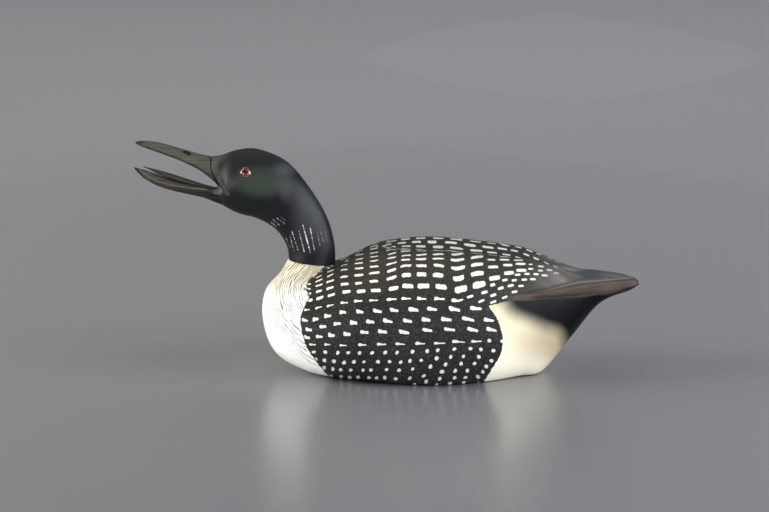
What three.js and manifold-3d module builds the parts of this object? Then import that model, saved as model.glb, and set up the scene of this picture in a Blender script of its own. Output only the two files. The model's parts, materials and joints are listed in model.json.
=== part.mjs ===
// Loon decoy: a carved and painted wooden loon, calling with its bill wide open.
// Millimetres, +Z up, bill toward -X, tail toward +X. The origin is on the ground,
// under the middle of the bird, which rests on its flat underside.
import * as THREE from 'three';
import { mergeVertices } from 'three/addons/utils/BufferGeometryUtils.js';
import Module from 'manifold-3d';

const wasm = await Module();
wasm.setup();

// Driving dimensions
const length = 620; // bill tip to tail tip
const height = 288; // underside to the top of the upper bill
const beam = 216; // across the flanks, at the widest
const backHollowWidth = 72; // between the crests of the folded wings
const eyeDiameter = 12;
const eyeDome = 2.2; // how far the glass bulges past its rim
const eyeProud = 0.2; // how far the rim stands out of the cheek
const eyeDepth = 5; // from the rim back into the head
const eyeClearance = 0.3; // round and behind the glass in its socket
const neckClearance = 0.3; // between the neck's foot and its seat on the body
const collarLip = 0.8; // how far the body's seat stands out round the neck
const billGrooveDepth = 1.2; // carved line round the root of the upper bill
const billGrooveWidth = 1.8;
const nostrilLength = 7;
const nostrilHeight = 1.9;
const nostrilDepth = 1.6;
const billWall = 1.4; // rim of the hollowed lower bill
const troughDepth = 4.2; // hollow of the lower bill, below the rim
const tongueClearance = 0.3; // under the tongue's root

// How square the rings of each form are: 2 is an ellipse, and more is squarer
const fullness = {
  neck: 2.05,
  flank: 2.3,
  tail: 3.4,
  head: 2.05,
  lowerBill: 2.2,
  trough: 2.4,
  tongue: 2,
};

// Corners round each ring of a form, and rings to each row of its list
const facets = {
  body: { sides: 44, perRow: 4 },
  tail: { sides: 24, perRow: 3 },
  head: { sides: 28, perRow: 3 },
  lowerBill: { sides: 16, perRow: 2 },
  trough: { sides: 14, perRow: 2 },
  tongue: { sides: 8, perRow: 2 },
  eye: { sides: 16, domeSteps: 4 },
  nostril: { sides: 10, steps: 8 },
  mouthSteps: 24,
};

// The carving is drawn as rings strung between two lines in the mid-plane, a keel and a
// back, as percentages of length (x), height (z) and beam (half widths).
const xShare = length / 100;
const zShare = height / 100;
const yShare = beam / 100;

// Foot of the neck: front x, front z, back x, back z, half width. Its seat is just below.
const collar = [-19.3, 48.8, -10.1, 46.8, 11.1];
const seatDrop = neckClearance / zShare;
const seat = [collar[0], collar[1] - seatDrop, collar[2], collar[3] - seatDrop, collar[4]];

// The neck's form blends into the flanks' between these rows of the body
const neckRow = 1;
const flankRow = 5;

// Share of a lower quarter's corners that lie on the flank, the rest being on the ground,
// and how low those of a ring that clears the ground are spread
const cornersOnFlank = 0.65;
const lowestSpread = THREE.MathUtils.degToRad(84);

// The hollow of the back is never more than this share of the half width from its middle
const hollowLimit = 0.42;

// Body, from the neck's seat round the breast and along to the tail:
// keel x, keel z, back x, back z, half width, how far up the ring is widest, and how deep
// the hollow between the wings sinks under the arch of the back
const bodyRings = [
  [...seat, 0.5, 0],
  [-21.1, 42.7, -9.6, 46.4, 16.6, 0.5, 0],
  [-24.1, 34.4, -8.6, 47.2, 26.9, 0.48, 0],
  [-24.5, 21.9, -7.3, 48.7, 33.0, 0.46, 0],
  [-22.1, 8.8, -5.5, 51.0, 38.0, 0.45, 0],
  [-15.8, 1.2, -2.3, 54.3, 42.8, 0.44, 0.5],
  [-7.3, -2.6, 1.9, 57.1, 47.0, 0.43, 3.2],
  [8.5, -8.0, 8.5, 58.7, 50.0, 0.42, 6.2],
  [18.9, -4.9, 18.9, 57.3, 45.8, 0.42, 6.6],
  [26.1, -1.7, 26.1, 56.2, 36.6, 0.45, 7.8],
  [30.8, 0.5, 30.8, 52.8, 28.7, 0.5, 8.2],
  [36.8, 15.8, 36.8, 46.0, 19.4, 0.55, 3.6],
  [42.3, 30.0, 42.3, 41.7, 10.2, 0.6, 0],
  [48.4, 36.3, 48.4, 39.2, 2.8, 0.5, 0],
];

// Tail, a thick paddle whose edge comes out of the flanks as a ledge over the rump:
// underside x and z, top x and z, half width, widest
const tailRings = [
  [16.1, 35.8, 16.1, 38.9, 37.0, 0.5],
  [23.5, 35.9, 23.5, 39.1, 36.1, 0.5],
  [30.8, 35.6, 30.8, 40.6, 29.6, 0.5],
  [36.9, 35.2, 36.9, 42.2, 22.2, 0.5],
  [42.3, 35.4, 42.3, 42.5, 14.8, 0.5],
  [46.8, 36.1, 46.8, 41.5, 8.8, 0.5],
  [49.0, 37.2, 49.0, 40.3, 4.2, 0.5],
  [50.0, 38.4, 50.0, 39.1, 0.5, 0.5],
];

// Neck, head and upper bill: throat x and z, nape x and z, half width, widest.
// Row 8 is the root of the upper bill.
const headRings = [
  [...collar, 0.5],
  [-19.8, 54.7, -10.3, 55.6, 10.6, 0.5],
  [-21.9, 61.7, -11.7, 66.7, 10.4, 0.5],
  [-25.5, 66.4, -14.8, 78.5, 11.2, 0.5],
  [-28.9, 68.4, -19.5, 90.7, 12.5, 0.5],
  [-31.2, 70.6, -25.3, 96.3, 12.0, 0.5],
  [-32.6, 72.9, -29.4, 96.0, 9.5, 0.47],
  [-32.6, 77.4, -32.6, 93.8, 6.2, 0.45],
  [-33.6, 81.3, -34.6, 93.4, 4.6, 0.42],
  [-36.1, 85.9, -36.5, 94.1, 4.1, 0.38],
  [-40.1, 90.8, -40.5, 96.6, 3.2, 0.35],
  [-44.9, 94.7, -44.9, 99.3, 2.1, 0.35],
  [-48.2, 97.2, -48.1, 100.0, 1.0, 0.4],
  [-49.6, 99.0, -49.6, 99.5, 0.3, 0.5],
];
const billRootRow = 8;

// Lower bill and the tongue in it, from inside the head to the tip:
// x, chin z, rim z, half width, then the tongue's underside z, top z and half width
const billStations = [
  [-30.2, 70.7, 77.8, 4.63, 0, 0, 0],
  [-33.8, 73.2, 79.3, 4.54, 79.0, 79.9, 1.3],
  [-36.1, 75.3, 80.4, 4.12, 79.6, 81.2, 1.57],
  [-38.9, 76.7, 81.4, 3.52, 80.8, 83.2, 1.67],
  [-42.1, 78.3, 82.8, 2.78, 83.0, 85.5, 1.53],
  [-44.9, 80.1, 84.8, 2.13, 85.2, 87.2, 1.2],
  [-46.8, 82.2, 86.5, 1.57, 87.5, 88.3, 0.69],
  [-48.0, 83.8, 87.4, 1.25, 88.7, 89.1, 0.23],
  [-49.5, 87.1, 88.4, 0.6, 0, 0, 0],
  [-50.0, 88.5, 88.8, 0.19, 0, 0, 0],
];
const tongueRoot = 1; // first and last stations that the tongue reaches
const tongueTip = 7;
const tongueSeatEnd = 2; // the tongue lies on the hollow's floor up to this station
const aboveRim = 1.5; // how far the lower bill is drawn past its rim, before the mouth is cut
const lowerBillWidest = 0.7;
const troughAboveRim = 3;
const troughWidest = 0.6;

// Cutting edge of the upper bill, from beyond its tip back to the corner of the mouth: x, z
const mouthLine = [
  [-51.2, 99.8],
  [-46.8, 96.3],
  [-42.1, 92.6],
  [-37.3, 88.0],
  [-35.0, 84.2],
  [-32.1, 78.4],
];

// Where the eyes and nostrils sit on the head: ring, and angle up the ring's side
const eyePlace = { at: 5.15, angle: THREE.MathUtils.degToRad(21) };
const nostrilPlace = { at: 9.65, angle: THREE.MathUtils.degToRad(52) };

// A form: smooth rows between the rows of its list, by their place in it, and how they are
// turned into rings
function formOf(rows, settings) {
  const columns = rows[0].length;
  const spline = new THREE.CubicInterpolant(rows.map((_, index) => index), rows.flat(), columns);
  return {
    row: (at) => Array.from(spline.evaluate(at)),
    last: rows.length - 1,
    swell: () => 0,
    angles: (at, sides) => evenAngles(sides),
    ...settings,
  };
}

function signedPower(value, power) {
  return Math.sign(value) * Math.abs(value) ** power;
}

// A point on a ring, at an angle from the middle of the +Y side up over the back
function ringPoint(form, at, angle) {
  const [keelX, keelZ, backX, backZ, halfShare, widest, hollow = 0] = form.row(at);
  const keel = new THREE.Vector3(keelX * xShare, 0, keelZ * zShare);
  const back = new THREE.Vector3(backX * xShare, 0, backZ * zShare);
  const upward = back.clone().sub(keel).normalize();
  const power = 2 / form.fullness(at);
  const swell = form.swell(at);
  const half = halfShare * yShare + swell;
  const sideways = signedPower(Math.cos(angle), power) * half;
  const rise = signedPower(Math.sin(angle), power);
  const share = rise > 0 ? widest + (1 - widest) * rise : widest + widest * rise;
  const point = keel.lerp(back, share).addScaledVector(upward, swell * rise);
  const hollowHalf = Math.min(backHollowWidth / 2, hollowLimit * half);
  const dip = hollow * zShare * Math.exp(-((sideways / hollowHalf) ** 2));
  point.addScaledVector(upward, -dip * Math.max(0, rise));
  point.y = sideways;
  return point;
}

function evenAngles(sides) {
  return Array.from({ length: sides }, (_, side) => (side / sides) * 2 * Math.PI);
}

// Places along a form, so many to each of its rows
function placesAlong(form, from = 0, to = form.last) {
  const count = Math.round((to - from) * form.perRow);
  return Array.from({ length: count + 1 }, (_, index) => from + ((to - from) * index) / count);
}

// A closed skin over rings at the places given, with a fan of triangles on each end
function loft(form, places = placesAlong(form)) {
  const { sides } = form;
  const points = [];
  for (const at of places) {
    const ring = form.angles(at, sides).map((angle) => ringPoint(form, at, angle));
    if (form.onGround) ring.forEach((point) => point.setZ(Math.max(point.z, 0)));
    points.push(...ring);
  }
  const faces = [];
  const last = places.length - 1;
  for (let ring = 0; ring < last; ring += 1) {
    for (let side = 0; side < sides; side += 1) {
      const next = (side + 1) % sides;
      const a = ring * sides + side;
      const b = ring * sides + next;
      faces.push(a, b, a + sides, b, b + sides, a + sides);
    }
  }
  for (const ring of [0, last]) {
    const rim = points.slice(ring * sides, (ring + 1) * sides);
    const centre = points.length;
    points.push(rim.reduce((sum, point) => sum.add(point), new THREE.Vector3()).divideScalar(sides));
    for (let side = 0; side < sides; side += 1) {
      const a = ring * sides + side;
      const b = ring * sides + ((side + 1) % sides);
      faces.push(...(ring === 0 ? [centre, b, a] : [centre, a, b]));
    }
  }
  const geometry = new THREE.BufferGeometry().setFromPoints(points);
  geometry.setIndex(volumeInside(points, faces) > 0 ? faces : faces.reverse());
  return geometry;
}

// Volume inside a closed set of faces, below zero where they point inwards
function volumeInside(points, faces) {
  let volume = 0;
  const cross = new THREE.Vector3();
  for (let face = 0; face < faces.length; face += 3) {
    const [a, b, c] = [points[faces[face]], points[faces[face + 1]], points[faces[face + 2]]];
    volume += a.dot(cross.crossVectors(b, c)) / 6;
  }
  return volume;
}

const mergeDistance = 1e-4;

function solid(geometry) {
  const bare = geometry.clone();
  bare.deleteAttribute('normal');
  bare.deleteAttribute('uv');
  const merged = mergeVertices(bare, mergeDistance);
  return new wasm.Manifold(new wasm.Mesh({
    numProp: 3,
    vertProperties: new Float32Array(merged.attributes.position.array),
    triVerts: new Uint32Array(merged.index.array),
  }));
}

function skin(manifold) {
  const { vertProperties, triVerts } = manifold.getMesh();
  const geometry = new THREE.BufferGeometry();
  geometry.setAttribute('position', new THREE.BufferAttribute(vertProperties, 3));
  geometry.setIndex(new THREE.BufferAttribute(triVerts, 1));
  geometry.computeVertexNormals();
  return geometry;
}

// Body
const bodyForm = formOf(bodyRings, {
  ...facets.body,
  fullness: (at) => {
    const blend = THREE.MathUtils.smoothstep(at, neckRow, flankRow);
    return THREE.MathUtils.lerp(fullness.neck, fullness.flank, blend);
  },
  swell: (at) => collarLip * Math.max(0, 1 - at),
  onGround: true,
  angles: bodyAngles,
});

// How far below its widest place a ring of the body reaches the ground, as an angle
function groundAngle(at) {
  const halvings = 20;
  let above = 0;
  let below = lowestSpread;
  if (ringPoint(bodyForm, at, Math.PI + below).z > 0) return below;
  for (let halving = 0; halving < halvings; halving += 1) {
    const middle = (above + below) / 2;
    if (ringPoint(bodyForm, at, Math.PI + middle).z > 0) above = middle;
    else below = middle;
  }
  return below;
}

// Corners of a body ring. As many lie on the ground in every ring, so the edge of the flat
// underside always runs through corners.
function bodyAngles(at, sides) {
  const quarter = sides / 4;
  const onFlank = Math.round(quarter * cornersOnFlank);
  const ground = groundAngle(at);
  const down = Array.from({ length: quarter + 1 }, (_, index) => (index <= onFlank
    ? (ground * index) / onFlank
    : ground + ((Math.PI / 2 - ground) * (index - onFlank)) / (quarter - onFlank)));
  return [
    ...evenAngles(sides).slice(0, 2 * quarter),
    ...down.slice(0, quarter).map((angle) => Math.PI + angle),
    ...down.slice(1).reverse().map((angle) => 2 * Math.PI - angle),
  ];
}

const tailForm = formOf(tailRings, { ...facets.tail, fullness: () => fullness.tail });

function makeBody() {
  return skin(solid(loft(bodyForm)).add(solid(loft(tailForm))));
}

// Head
const headForm = formOf(headRings, {
  ...facets.head,
  fullness: () => fullness.head,
  swell: (at) => (at === billRootRow ? -billGrooveDepth : 0),
});

// Rings of the head, with three close together for the groove round the bill's root
function headPlaces() {
  const [rootX] = headForm.row(billRootRow);
  const [nextX] = headForm.row(billRootRow + 1);
  const halfGroove = billGrooveWidth / 2 / ((rootX - nextX) * xShare);
  const step = 1 / headForm.perRow;
  return [
    ...placesAlong(headForm, 0, billRootRow - step),
    billRootRow - halfGroove,
    billRootRow,
    billRootRow + halfGroove,
    ...placesAlong(headForm, billRootRow + step),
  ];
}

const tongueStations = billStations.slice(tongueRoot, tongueTip + 1);

const lowerBillForm = formOf(
  billStations.map(([x, chin, rim, half]) => [x, chin, x, rim + aboveRim, half, lowerBillWidest]),
  { ...facets.lowerBill, fullness: () => fullness.lowerBill },
);

// The hollow of the lower bill, whose floor rises to the tongue where that is seated
const troughForm = formOf(
  tongueStations.map(([x, , rim, half, under], index) => {
    const seated = index + tongueRoot <= tongueSeatEnd;
    const floor = seated ? under - tongueClearance / zShare : rim - troughDepth / zShare;
    return [x, floor, x, rim + troughAboveRim, half - billWall / yShare, troughWidest];
  }),
  { ...facets.trough, fullness: () => fullness.trough },
);

const tongueForm = formOf(
  tongueStations.map(([x, , , , under, top, half]) => [x, under, x, top, half, 0.5]),
  { ...facets.tongue, fullness: () => fullness.tongue },
);

// The open mouth: a wedge cut right across, between the upper bill's edge and the lower rim
function mouthWedge() {
  const toPoint = ([x, z]) => new THREE.Vector2(x * xShare, z * zShare);
  const rim = billStations.slice(tongueRoot).map(([x, , z]) => toPoint([x, z]));
  const upper = new THREE.SplineCurve(mouthLine.map(toPoint)).getPoints(facets.mouthSteps);
  const beyondTip = new THREE.Vector2(upper[0].x, rim.at(-1).y);
  const lower = new THREE.SplineCurve([...rim, beyondTip]).getPoints(facets.mouthSteps);
  const shape = new THREE.Shape([...upper, ...lower]);
  return new THREE.ExtrudeGeometry(shape, { depth: beam, bevelEnabled: false })
    .rotateX(Math.PI / 2)
    .translate(0, beam / 2, 0);
}

// A frame on the skin of the head, with its +Z axis straight out of the surface
function frameOnHead({ at, angle }, side) {
  const step = 0.01; // small enough to give the slope of the skin
  const point = ringPoint(headForm, at, angle);
  const along = ringPoint(headForm, at + step, angle).sub(point).normalize();
  const around = ringPoint(headForm, at, angle + step).sub(point);
  const out = new THREE.Vector3().crossVectors(around, along).normalize();
  const up = new THREE.Vector3().crossVectors(out, along).normalize();
  const frame = new THREE.Matrix4().makeBasis(along, up, out).setPosition(point);
  if (side > 0) return frame;
  const mirrored = new THREE.Matrix4().makeBasis(
    along.clone().multiply(new THREE.Vector3(1, -1, 1)),
    up.clone().multiply(new THREE.Vector3(-1, 1, -1)),
    out.clone().multiply(new THREE.Vector3(1, -1, 1)),
  );
  return mirrored.setPosition(point.clone().multiply(new THREE.Vector3(1, -1, 1)));
}

// Glass eye, or with a clearance its socket: a button with a domed face, turned about +Z
function eyeGeometry(clearance, domed) {
  const radius = eyeDiameter / 2 + clearance;
  const back = -eyeDepth - clearance;
  const profile = [new THREE.Vector2(0, back), new THREE.Vector2(radius, back)];
  const { sides, domeSteps } = facets.eye;
  for (let step = 0; step < domeSteps; step += 1) {
    const turn = (step / domeSteps) * (Math.PI / 2);
    profile.push(new THREE.Vector2(radius * Math.cos(turn), eyeProud + eyeDome * Math.sin(turn)));
  }
  profile.push(new THREE.Vector2(0, eyeProud + eyeDome));
  const face = domed ? profile : [
    ...profile.slice(0, 2),
    new THREE.Vector2(radius, eyeDiameter),
    new THREE.Vector2(0, eyeDiameter),
  ];
  return new THREE.LatheGeometry(face, sides).rotateX(Math.PI / 2);
}

function makeHead() {
  let head = solid(loft(headForm, headPlaces()));
  head = head.add(solid(loft(lowerBillForm)));
  head = head.subtract(solid(mouthWedge()));
  head = head.subtract(solid(loft(troughForm).translate(tongueClearance, 0, 0)));
  for (const side of [1, -1]) {
    const socket = eyeGeometry(eyeClearance, false).applyMatrix4(frameOnHead(eyePlace, side));
    head = head.subtract(solid(socket));
    const nostril = new THREE.SphereGeometry(0.5, facets.nostril.sides, facets.nostril.steps)
      .scale(nostrilLength, nostrilHeight, 2 * nostrilDepth)
      .applyMatrix4(frameOnHead(nostrilPlace, side));
    head = head.subtract(solid(nostril));
  }
  return skin(head);
}

// Materials
const paintedWood = new THREE.MeshStandardMaterial({ color: 0x24262a, roughness: 0.55, metalness: 0 });
const blackHead = new THREE.MeshStandardMaterial({ color: 0x2b2f33, roughness: 0.45, metalness: 0 });
const redGlass = new THREE.MeshStandardMaterial({ color: 0x8a1418, roughness: 0.08, metalness: 0 });
const darkTongue = new THREE.MeshStandardMaterial({ color: 0x3a302c, roughness: 0.6, metalness: 0 });

function piece(name, geometry, material) {
  const mesh = new THREE.Mesh(geometry, material);
  mesh.name = name;
  return mesh;
}

const decoy = new THREE.Group();
decoy.add(piece('body', makeBody(), paintedWood));
decoy.add(piece('head', makeHead(), blackHead));

decoy.add(piece('tongue', loft(tongueForm), darkTongue));

for (const [name, side] of [['eye_right', 1], ['eye_left', -1]]) {
  const eye = piece(name, eyeGeometry(0, true), redGlass);
  eye.applyMatrix4(frameOnHead(eyePlace, side));
  decoy.add(eye);
}

export default decoy;
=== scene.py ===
"""Looks of the loon decoy: a carved and painted wooden loon that calls with its bill wide open.

Metres, +Z up, bill toward -X, tail toward +X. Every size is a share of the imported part's
box, or is worked out from a place in the photograph, which is 769 by 512 pixels.
"""
import json
import math

import bpy
import numpy as np
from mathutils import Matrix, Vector

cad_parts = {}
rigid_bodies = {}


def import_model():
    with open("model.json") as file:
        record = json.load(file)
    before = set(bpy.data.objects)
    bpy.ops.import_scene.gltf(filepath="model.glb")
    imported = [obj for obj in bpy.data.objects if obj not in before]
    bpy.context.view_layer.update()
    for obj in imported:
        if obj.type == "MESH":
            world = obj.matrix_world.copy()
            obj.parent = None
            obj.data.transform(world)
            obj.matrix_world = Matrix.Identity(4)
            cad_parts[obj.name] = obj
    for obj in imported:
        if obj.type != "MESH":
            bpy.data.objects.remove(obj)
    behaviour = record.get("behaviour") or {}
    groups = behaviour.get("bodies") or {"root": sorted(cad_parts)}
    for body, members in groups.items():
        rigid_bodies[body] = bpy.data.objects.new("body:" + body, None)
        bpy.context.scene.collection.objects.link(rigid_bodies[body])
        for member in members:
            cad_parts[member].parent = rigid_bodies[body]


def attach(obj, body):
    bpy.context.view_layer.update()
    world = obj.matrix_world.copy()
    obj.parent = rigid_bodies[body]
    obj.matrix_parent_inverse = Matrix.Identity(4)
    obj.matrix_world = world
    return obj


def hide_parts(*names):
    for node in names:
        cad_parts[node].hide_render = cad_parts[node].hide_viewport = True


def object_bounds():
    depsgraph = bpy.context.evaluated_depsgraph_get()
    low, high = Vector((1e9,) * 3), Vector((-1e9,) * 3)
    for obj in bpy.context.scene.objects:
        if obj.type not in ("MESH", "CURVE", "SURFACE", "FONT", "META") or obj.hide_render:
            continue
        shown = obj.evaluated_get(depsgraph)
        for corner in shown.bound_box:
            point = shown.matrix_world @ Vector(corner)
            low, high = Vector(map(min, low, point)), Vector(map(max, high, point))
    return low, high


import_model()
cad_low, cad_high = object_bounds()

MM = 0.001
LENGTH = cad_high.x - cad_low.x
BEAM = cad_high.y - cad_low.y
HEIGHT = cad_high.z - cad_low.z
SHARE = np.array([LENGTH, BEAM, HEIGHT]) / 100

# The photograph's view: pixels of the frame, size of a pixel, and the camera's height
PHOTO_SIZE = (769, 512)
LENGTH_IN_PIXELS = 504.9
PIXEL = LENGTH / LENGTH_IN_PIXELS
ORIGIN_PIXEL = (386.5, 370.6)
LOOKING_DOWN = math.radians(12)
CAMERA_DISTANCE = 6.0
SENSOR_WIDTH = 36
CAMERA_SEES_TO = 100

# Driving sizes of the carving
BACK_HOLLOW_WIDTH = 72 * MM
HOLLOW_LIMIT = 0.42  # share of the half width that the back's hollow may take
COLLAR_LIP = 0.8 * MM
NECK_CLEARANCE = 0.3 * MM
NECK_TENON = 1.5 * MM
EYE_RADIUS = 6 * MM
EYE_DOME = 2.4 * MM
EYE_PROUD = 0.2 * MM
EYE_DEPTH = 5 * MM
IRIS_DEPTH = 1.0 * MM
IRIS_GAP = 0.05 * MM
GROOVE_DEPTH = 1.1 * MM
GROOVE_WIDTH = 1.0 * MM
BILL_WALL = 1.4 * MM
TROUGH_DEPTH = 4.2 * MM
TONGUE_CLEARANCE = 0.3 * MM
UNDERSIDE_EDGE = 1.6 * MM
PLANED_DEPTH = 40 * MM  # depth under the ground at which the underside's rounding has died out
LEDGE_BLEND = 1.5 * MM
LEDGE_HOLLOW = 7 * MM
LEDGE_TURN = (0.0, 0.5)  # radians below the tail's edge over which the blend widens to the hollow

# How square each loft's rings are: 2 is an ellipse, and more is squarer
SHOULDER_FULLNESS = [(0, 2.05), (1, 1.95), (2.5, 1.72), (4, 2.05), (5, 2.3)]
HULL_FULLNESS = 2.3
TAIL_FULLNESS = 3.4
HEAD_FULLNESS = 2.05
LOWER_BILL_FULLNESS = 2.2
TROUGH_FULLNESS = 2.4
TONGUE_FULLNESS = 2.0

# Foot of the neck: front x and z, back x and z, half width
COLLAR = [-19.3, 48.8, -10.1, 46.8, 11.1]
SEAT_DROP = NECK_CLEARANCE / SHARE[2]
SEAT = [COLLAR[0], COLLAR[1] - SEAT_DROP, COLLAR[2], COLLAR[3] - SEAT_DROP, COLLAR[4]]

# Body rings, in shares of the box: keel x and z, back x and z, half width, how far up the
# ring is widest, and the depth of the hollow between the wings
BODY_RINGS = [
    [*SEAT, 0.5, 0],
    [-21.1, 42.7, -9.6, 46.4, 16.6, 0.5, 0],
    [-24.1, 34.4, -8.6, 47.2, 26.9, 0.48, 0],
    [-24.5, 21.9, -7.3, 48.7, 33.0, 0.46, 0],
    [-22.1, 8.8, -5.5, 51.0, 38.0, 0.45, 0],
    [-15.8, 1.2, -2.3, 54.3, 42.8, 0.44, 0.5],
    [-7.3, -2.6, 1.9, 57.1, 47.0, 0.43, 3.2],
    [8.5, -8.0, 8.5, 58.7, 50.0, 0.42, 6.2],
    [18.9, -4.9, 18.9, 57.3, 45.8, 0.42, 6.6],
    [26.1, -1.7, 26.1, 56.2, 36.6, 0.45, 7.8],
    [30.8, 0.5, 30.8, 52.8, 28.7, 0.5, 8.2],
    [36.8, 15.8, 36.8, 46.0, 19.4, 0.55, 3.6],
    [42.3, 30.0, 42.3, 41.7, 10.2, 0.6, 0],
    [48.4, 36.3, 48.4, 39.2, 2.8, 0.5, 0],
]
UPRIGHT_ROW = 7  # from here on the rings stand upright, and the tail joins them
HULL_TAPER = 1.4  # how far behind its last ring the hull shrinks to nothing

# Tail rings: underside x and z, top x and z, half width, widest
TAIL_RINGS = [
    [16.1, 35.8, 16.1, 38.9, 37.0, 0.5],
    [23.5, 35.9, 23.5, 39.1, 36.1, 0.5],
    [30.8, 35.6, 30.8, 40.6, 29.6, 0.5],
    [36.9, 35.2, 36.9, 42.2, 22.2, 0.5],
    [42.3, 35.4, 42.3, 42.5, 14.8, 0.5],
    [46.8, 36.1, 46.8, 41.5, 8.8, 0.5],
    [49.0, 37.2, 49.0, 40.3, 4.2, 0.5],
    [50.0, 38.4, 50.0, 39.1, 0.5, 0.5],
]
TAIL_EASE = 2  # how far behind its first ring the tail's edge is eased into the hull

# Neck, head and upper bill: throat x and z, nape x and z, half width, widest
HEAD_RINGS = [
    [*COLLAR, 0.5],
    [-19.8, 54.7, -10.3, 55.6, 10.6, 0.5],
    [-21.9, 61.7, -11.7, 66.7, 10.4, 0.5],
    [-25.5, 66.4, -14.8, 78.5, 11.2, 0.5],
    [-28.9, 68.4, -19.5, 90.7, 12.5, 0.5],
    [-31.2, 70.6, -25.3, 96.3, 12.0, 0.5],
    [-32.6, 72.9, -29.4, 96.0, 9.5, 0.47],
    [-32.6, 77.4, -32.6, 93.8, 6.2, 0.45],
    [-33.6, 81.3, -34.6, 93.4, 4.6, 0.42],
    [-36.1, 85.9, -36.5, 94.1, 4.1, 0.38],
    [-40.1, 90.8, -40.5, 96.6, 3.2, 0.35],
    [-44.9, 94.7, -44.9, 99.3, 2.1, 0.35],
    [-48.2, 97.2, -48.1, 100.0, 1.0, 0.4],
    [-49.6, 99.0, -49.6, 99.5, 0.3, 0.5],
]

# Lower bill and tongue: x, chin z, rim z, half width, tongue's underside, top, half width
BILL_STATIONS = [
    [-30.2, 70.7, 77.8, 4.63, 0, 0, 0],
    [-33.8, 73.2, 79.3, 4.54, 79.0, 79.9, 1.3],
    [-36.1, 75.3, 80.4, 4.12, 79.6, 81.2, 1.57],
    [-38.9, 76.7, 81.4, 3.52, 80.8, 83.2, 1.67],
    [-42.1, 78.3, 82.8, 2.78, 83.0, 85.5, 1.53],
    [-44.9, 80.1, 84.8, 2.13, 85.2, 87.2, 1.2],
    [-46.8, 82.2, 86.5, 1.57, 87.5, 88.3, 0.69],
    [-48.0, 83.8, 87.4, 1.25, 88.7, 89.1, 0.23],
    [-49.5, 87.1, 88.4, 0.6, 0, 0, 0],
    [-50.0, 88.5, 88.8, 0.19, 0, 0, 0],
]
TONGUE_ROOT, TONGUE_TIP, TONGUE_SEAT_END = 1, 7, 2
LOWER_BILL_WIDEST, TROUGH_WIDEST, TONGUE_WIDEST = 0.7, 0.6, 0.5
RIM_WASTE, TROUGH_WASTE = 1.5, 3  # how far the blocks reach above the rim, before the cuts

# Cutting edge of the upper bill, from beyond its tip to the corner of the mouth: x, z
MOUTH_LINE = [
    [-51.2, 99.8], [-46.8, 96.3], [-42.1, 92.6], [-37.3, 88.0], [-35.0, 84.2], [-33.2, 80.2],
]

# Places on the head's skin: ring, and angle up from its side
EYE_PLACE = (5.12, math.radians(19.5))
NOSTRIL_PLACE = (9.65, math.radians(52))

# How fine the meshes are
BODY_FRONT_RINGS = 128
BODY_REAR_RINGS = 200
REAR_CROWDING = 0.9  # below 1, the rear rings start out wider apart
FLANK_COLUMNS = 116
GROUND_COLUMNS = 30
FLANK_MOST = 0.94  # share of a half ring that its flank columns may take
DENSE = 721  # points on a half ring before they are spread evenly
LOOKUPS = 2000
HEAD_GRID = (300, 120)
LOWER_BILL_GRID = (130, 48)
TROUGH_GRID = (80, 40)
TONGUE_GRID = (90, 28)
MOUTH_STEPS = 60
HEAD_VOXEL = 0.81 * MM
HEAD_SMOOTHING = (0.5, 3)  # how far a point moves to its neighbours' middle, and how often
SEAM_SMOOTHING = (0.6, 40)
EYE_SIDES = 48
EYE_DOME_RINGS = 13


def smooth_rows(rows, at):
    """Rows between the rows of a table, on a spline that runs through them."""
    rows = np.asarray(rows, float)
    padded = np.vstack([2 * rows[0] - rows[1], rows, 2 * rows[-1] - rows[-2]])
    at = np.atleast_1d(np.asarray(at, float))
    start = np.clip(np.floor(at).astype(int), 0, len(rows) - 2)
    t = (at - start)[:, None]
    a, b, c, d = (padded[start + step] for step in range(4))
    cubic = (3 * (b - c) + d - a) * t ** 3
    return 0.5 * (2 * b + (c - a) * t + (2 * a - 5 * b + 4 * c - d) * t ** 2 + cubic)


def smoothstep(value, start, end):
    t = np.clip((value - start) / (end - start), 0, 1)
    return t * t * (3 - 2 * t)


def signed_power(value, power):
    return np.sign(value) * np.abs(value) ** power


def rings(rows, at, angle, fullness, swell=0.0):
    """Points of rings, one for each place in the table, at angles up from their +Y side."""
    row = smooth_rows(rows, at)
    keel = np.stack([row[:, 0] * SHARE[0], 0 * row[:, 0], row[:, 1] * SHARE[2]], 1)[:, None]
    back = np.stack([row[:, 2] * SHARE[0], 0 * row[:, 0], row[:, 3] * SHARE[2]], 1)[:, None]
    upward = back - keel
    upward /= np.linalg.norm(upward, axis=2, keepdims=True)
    power = 2 / np.reshape(np.asarray(fullness, float), (-1, 1))
    swell = np.reshape(np.asarray(swell, float), (-1, 1))
    half = row[:, 4:5] * SHARE[1] + swell
    sideways = signed_power(np.cos(angle)[None], power) * half
    rise = signed_power(np.sin(angle)[None], power)
    widest = row[:, 5:6]
    share = np.where(rise > 0, widest + (1 - widest) * rise, widest + widest * rise)
    points = keel + (back - keel) * share[..., None] + upward * (swell * rise)[..., None]
    if row.shape[1] > 6:
        hollow_half = np.minimum(BACK_HOLLOW_WIDTH / 2, HOLLOW_LIMIT * half)
        dip = row[:, 6:7] * SHARE[2] * np.exp(-(sideways / hollow_half) ** 2)
        points = points - upward * (dip * np.maximum(rise, 0))[..., None]
    points[..., 1] = sideways
    return points


def to_photo(points):
    """Where points show in the photograph, in pixels."""
    height = points[..., 2] * math.cos(LOOKING_DOWN) + points[..., 1] * math.sin(LOOKING_DOWN)
    return np.stack([
        ORIGIN_PIXEL[0] + points[..., 0] / PIXEL,
        ORIGIN_PIXEL[1] - height / PIXEL,
    ], -1)


def near_side(points):
    """Points with those of the far side mirrored to the side that the camera sees."""
    mirrored = np.array(points)
    mirrored[..., 1] = -np.abs(mirrored[..., 1])
    return mirrored


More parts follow.
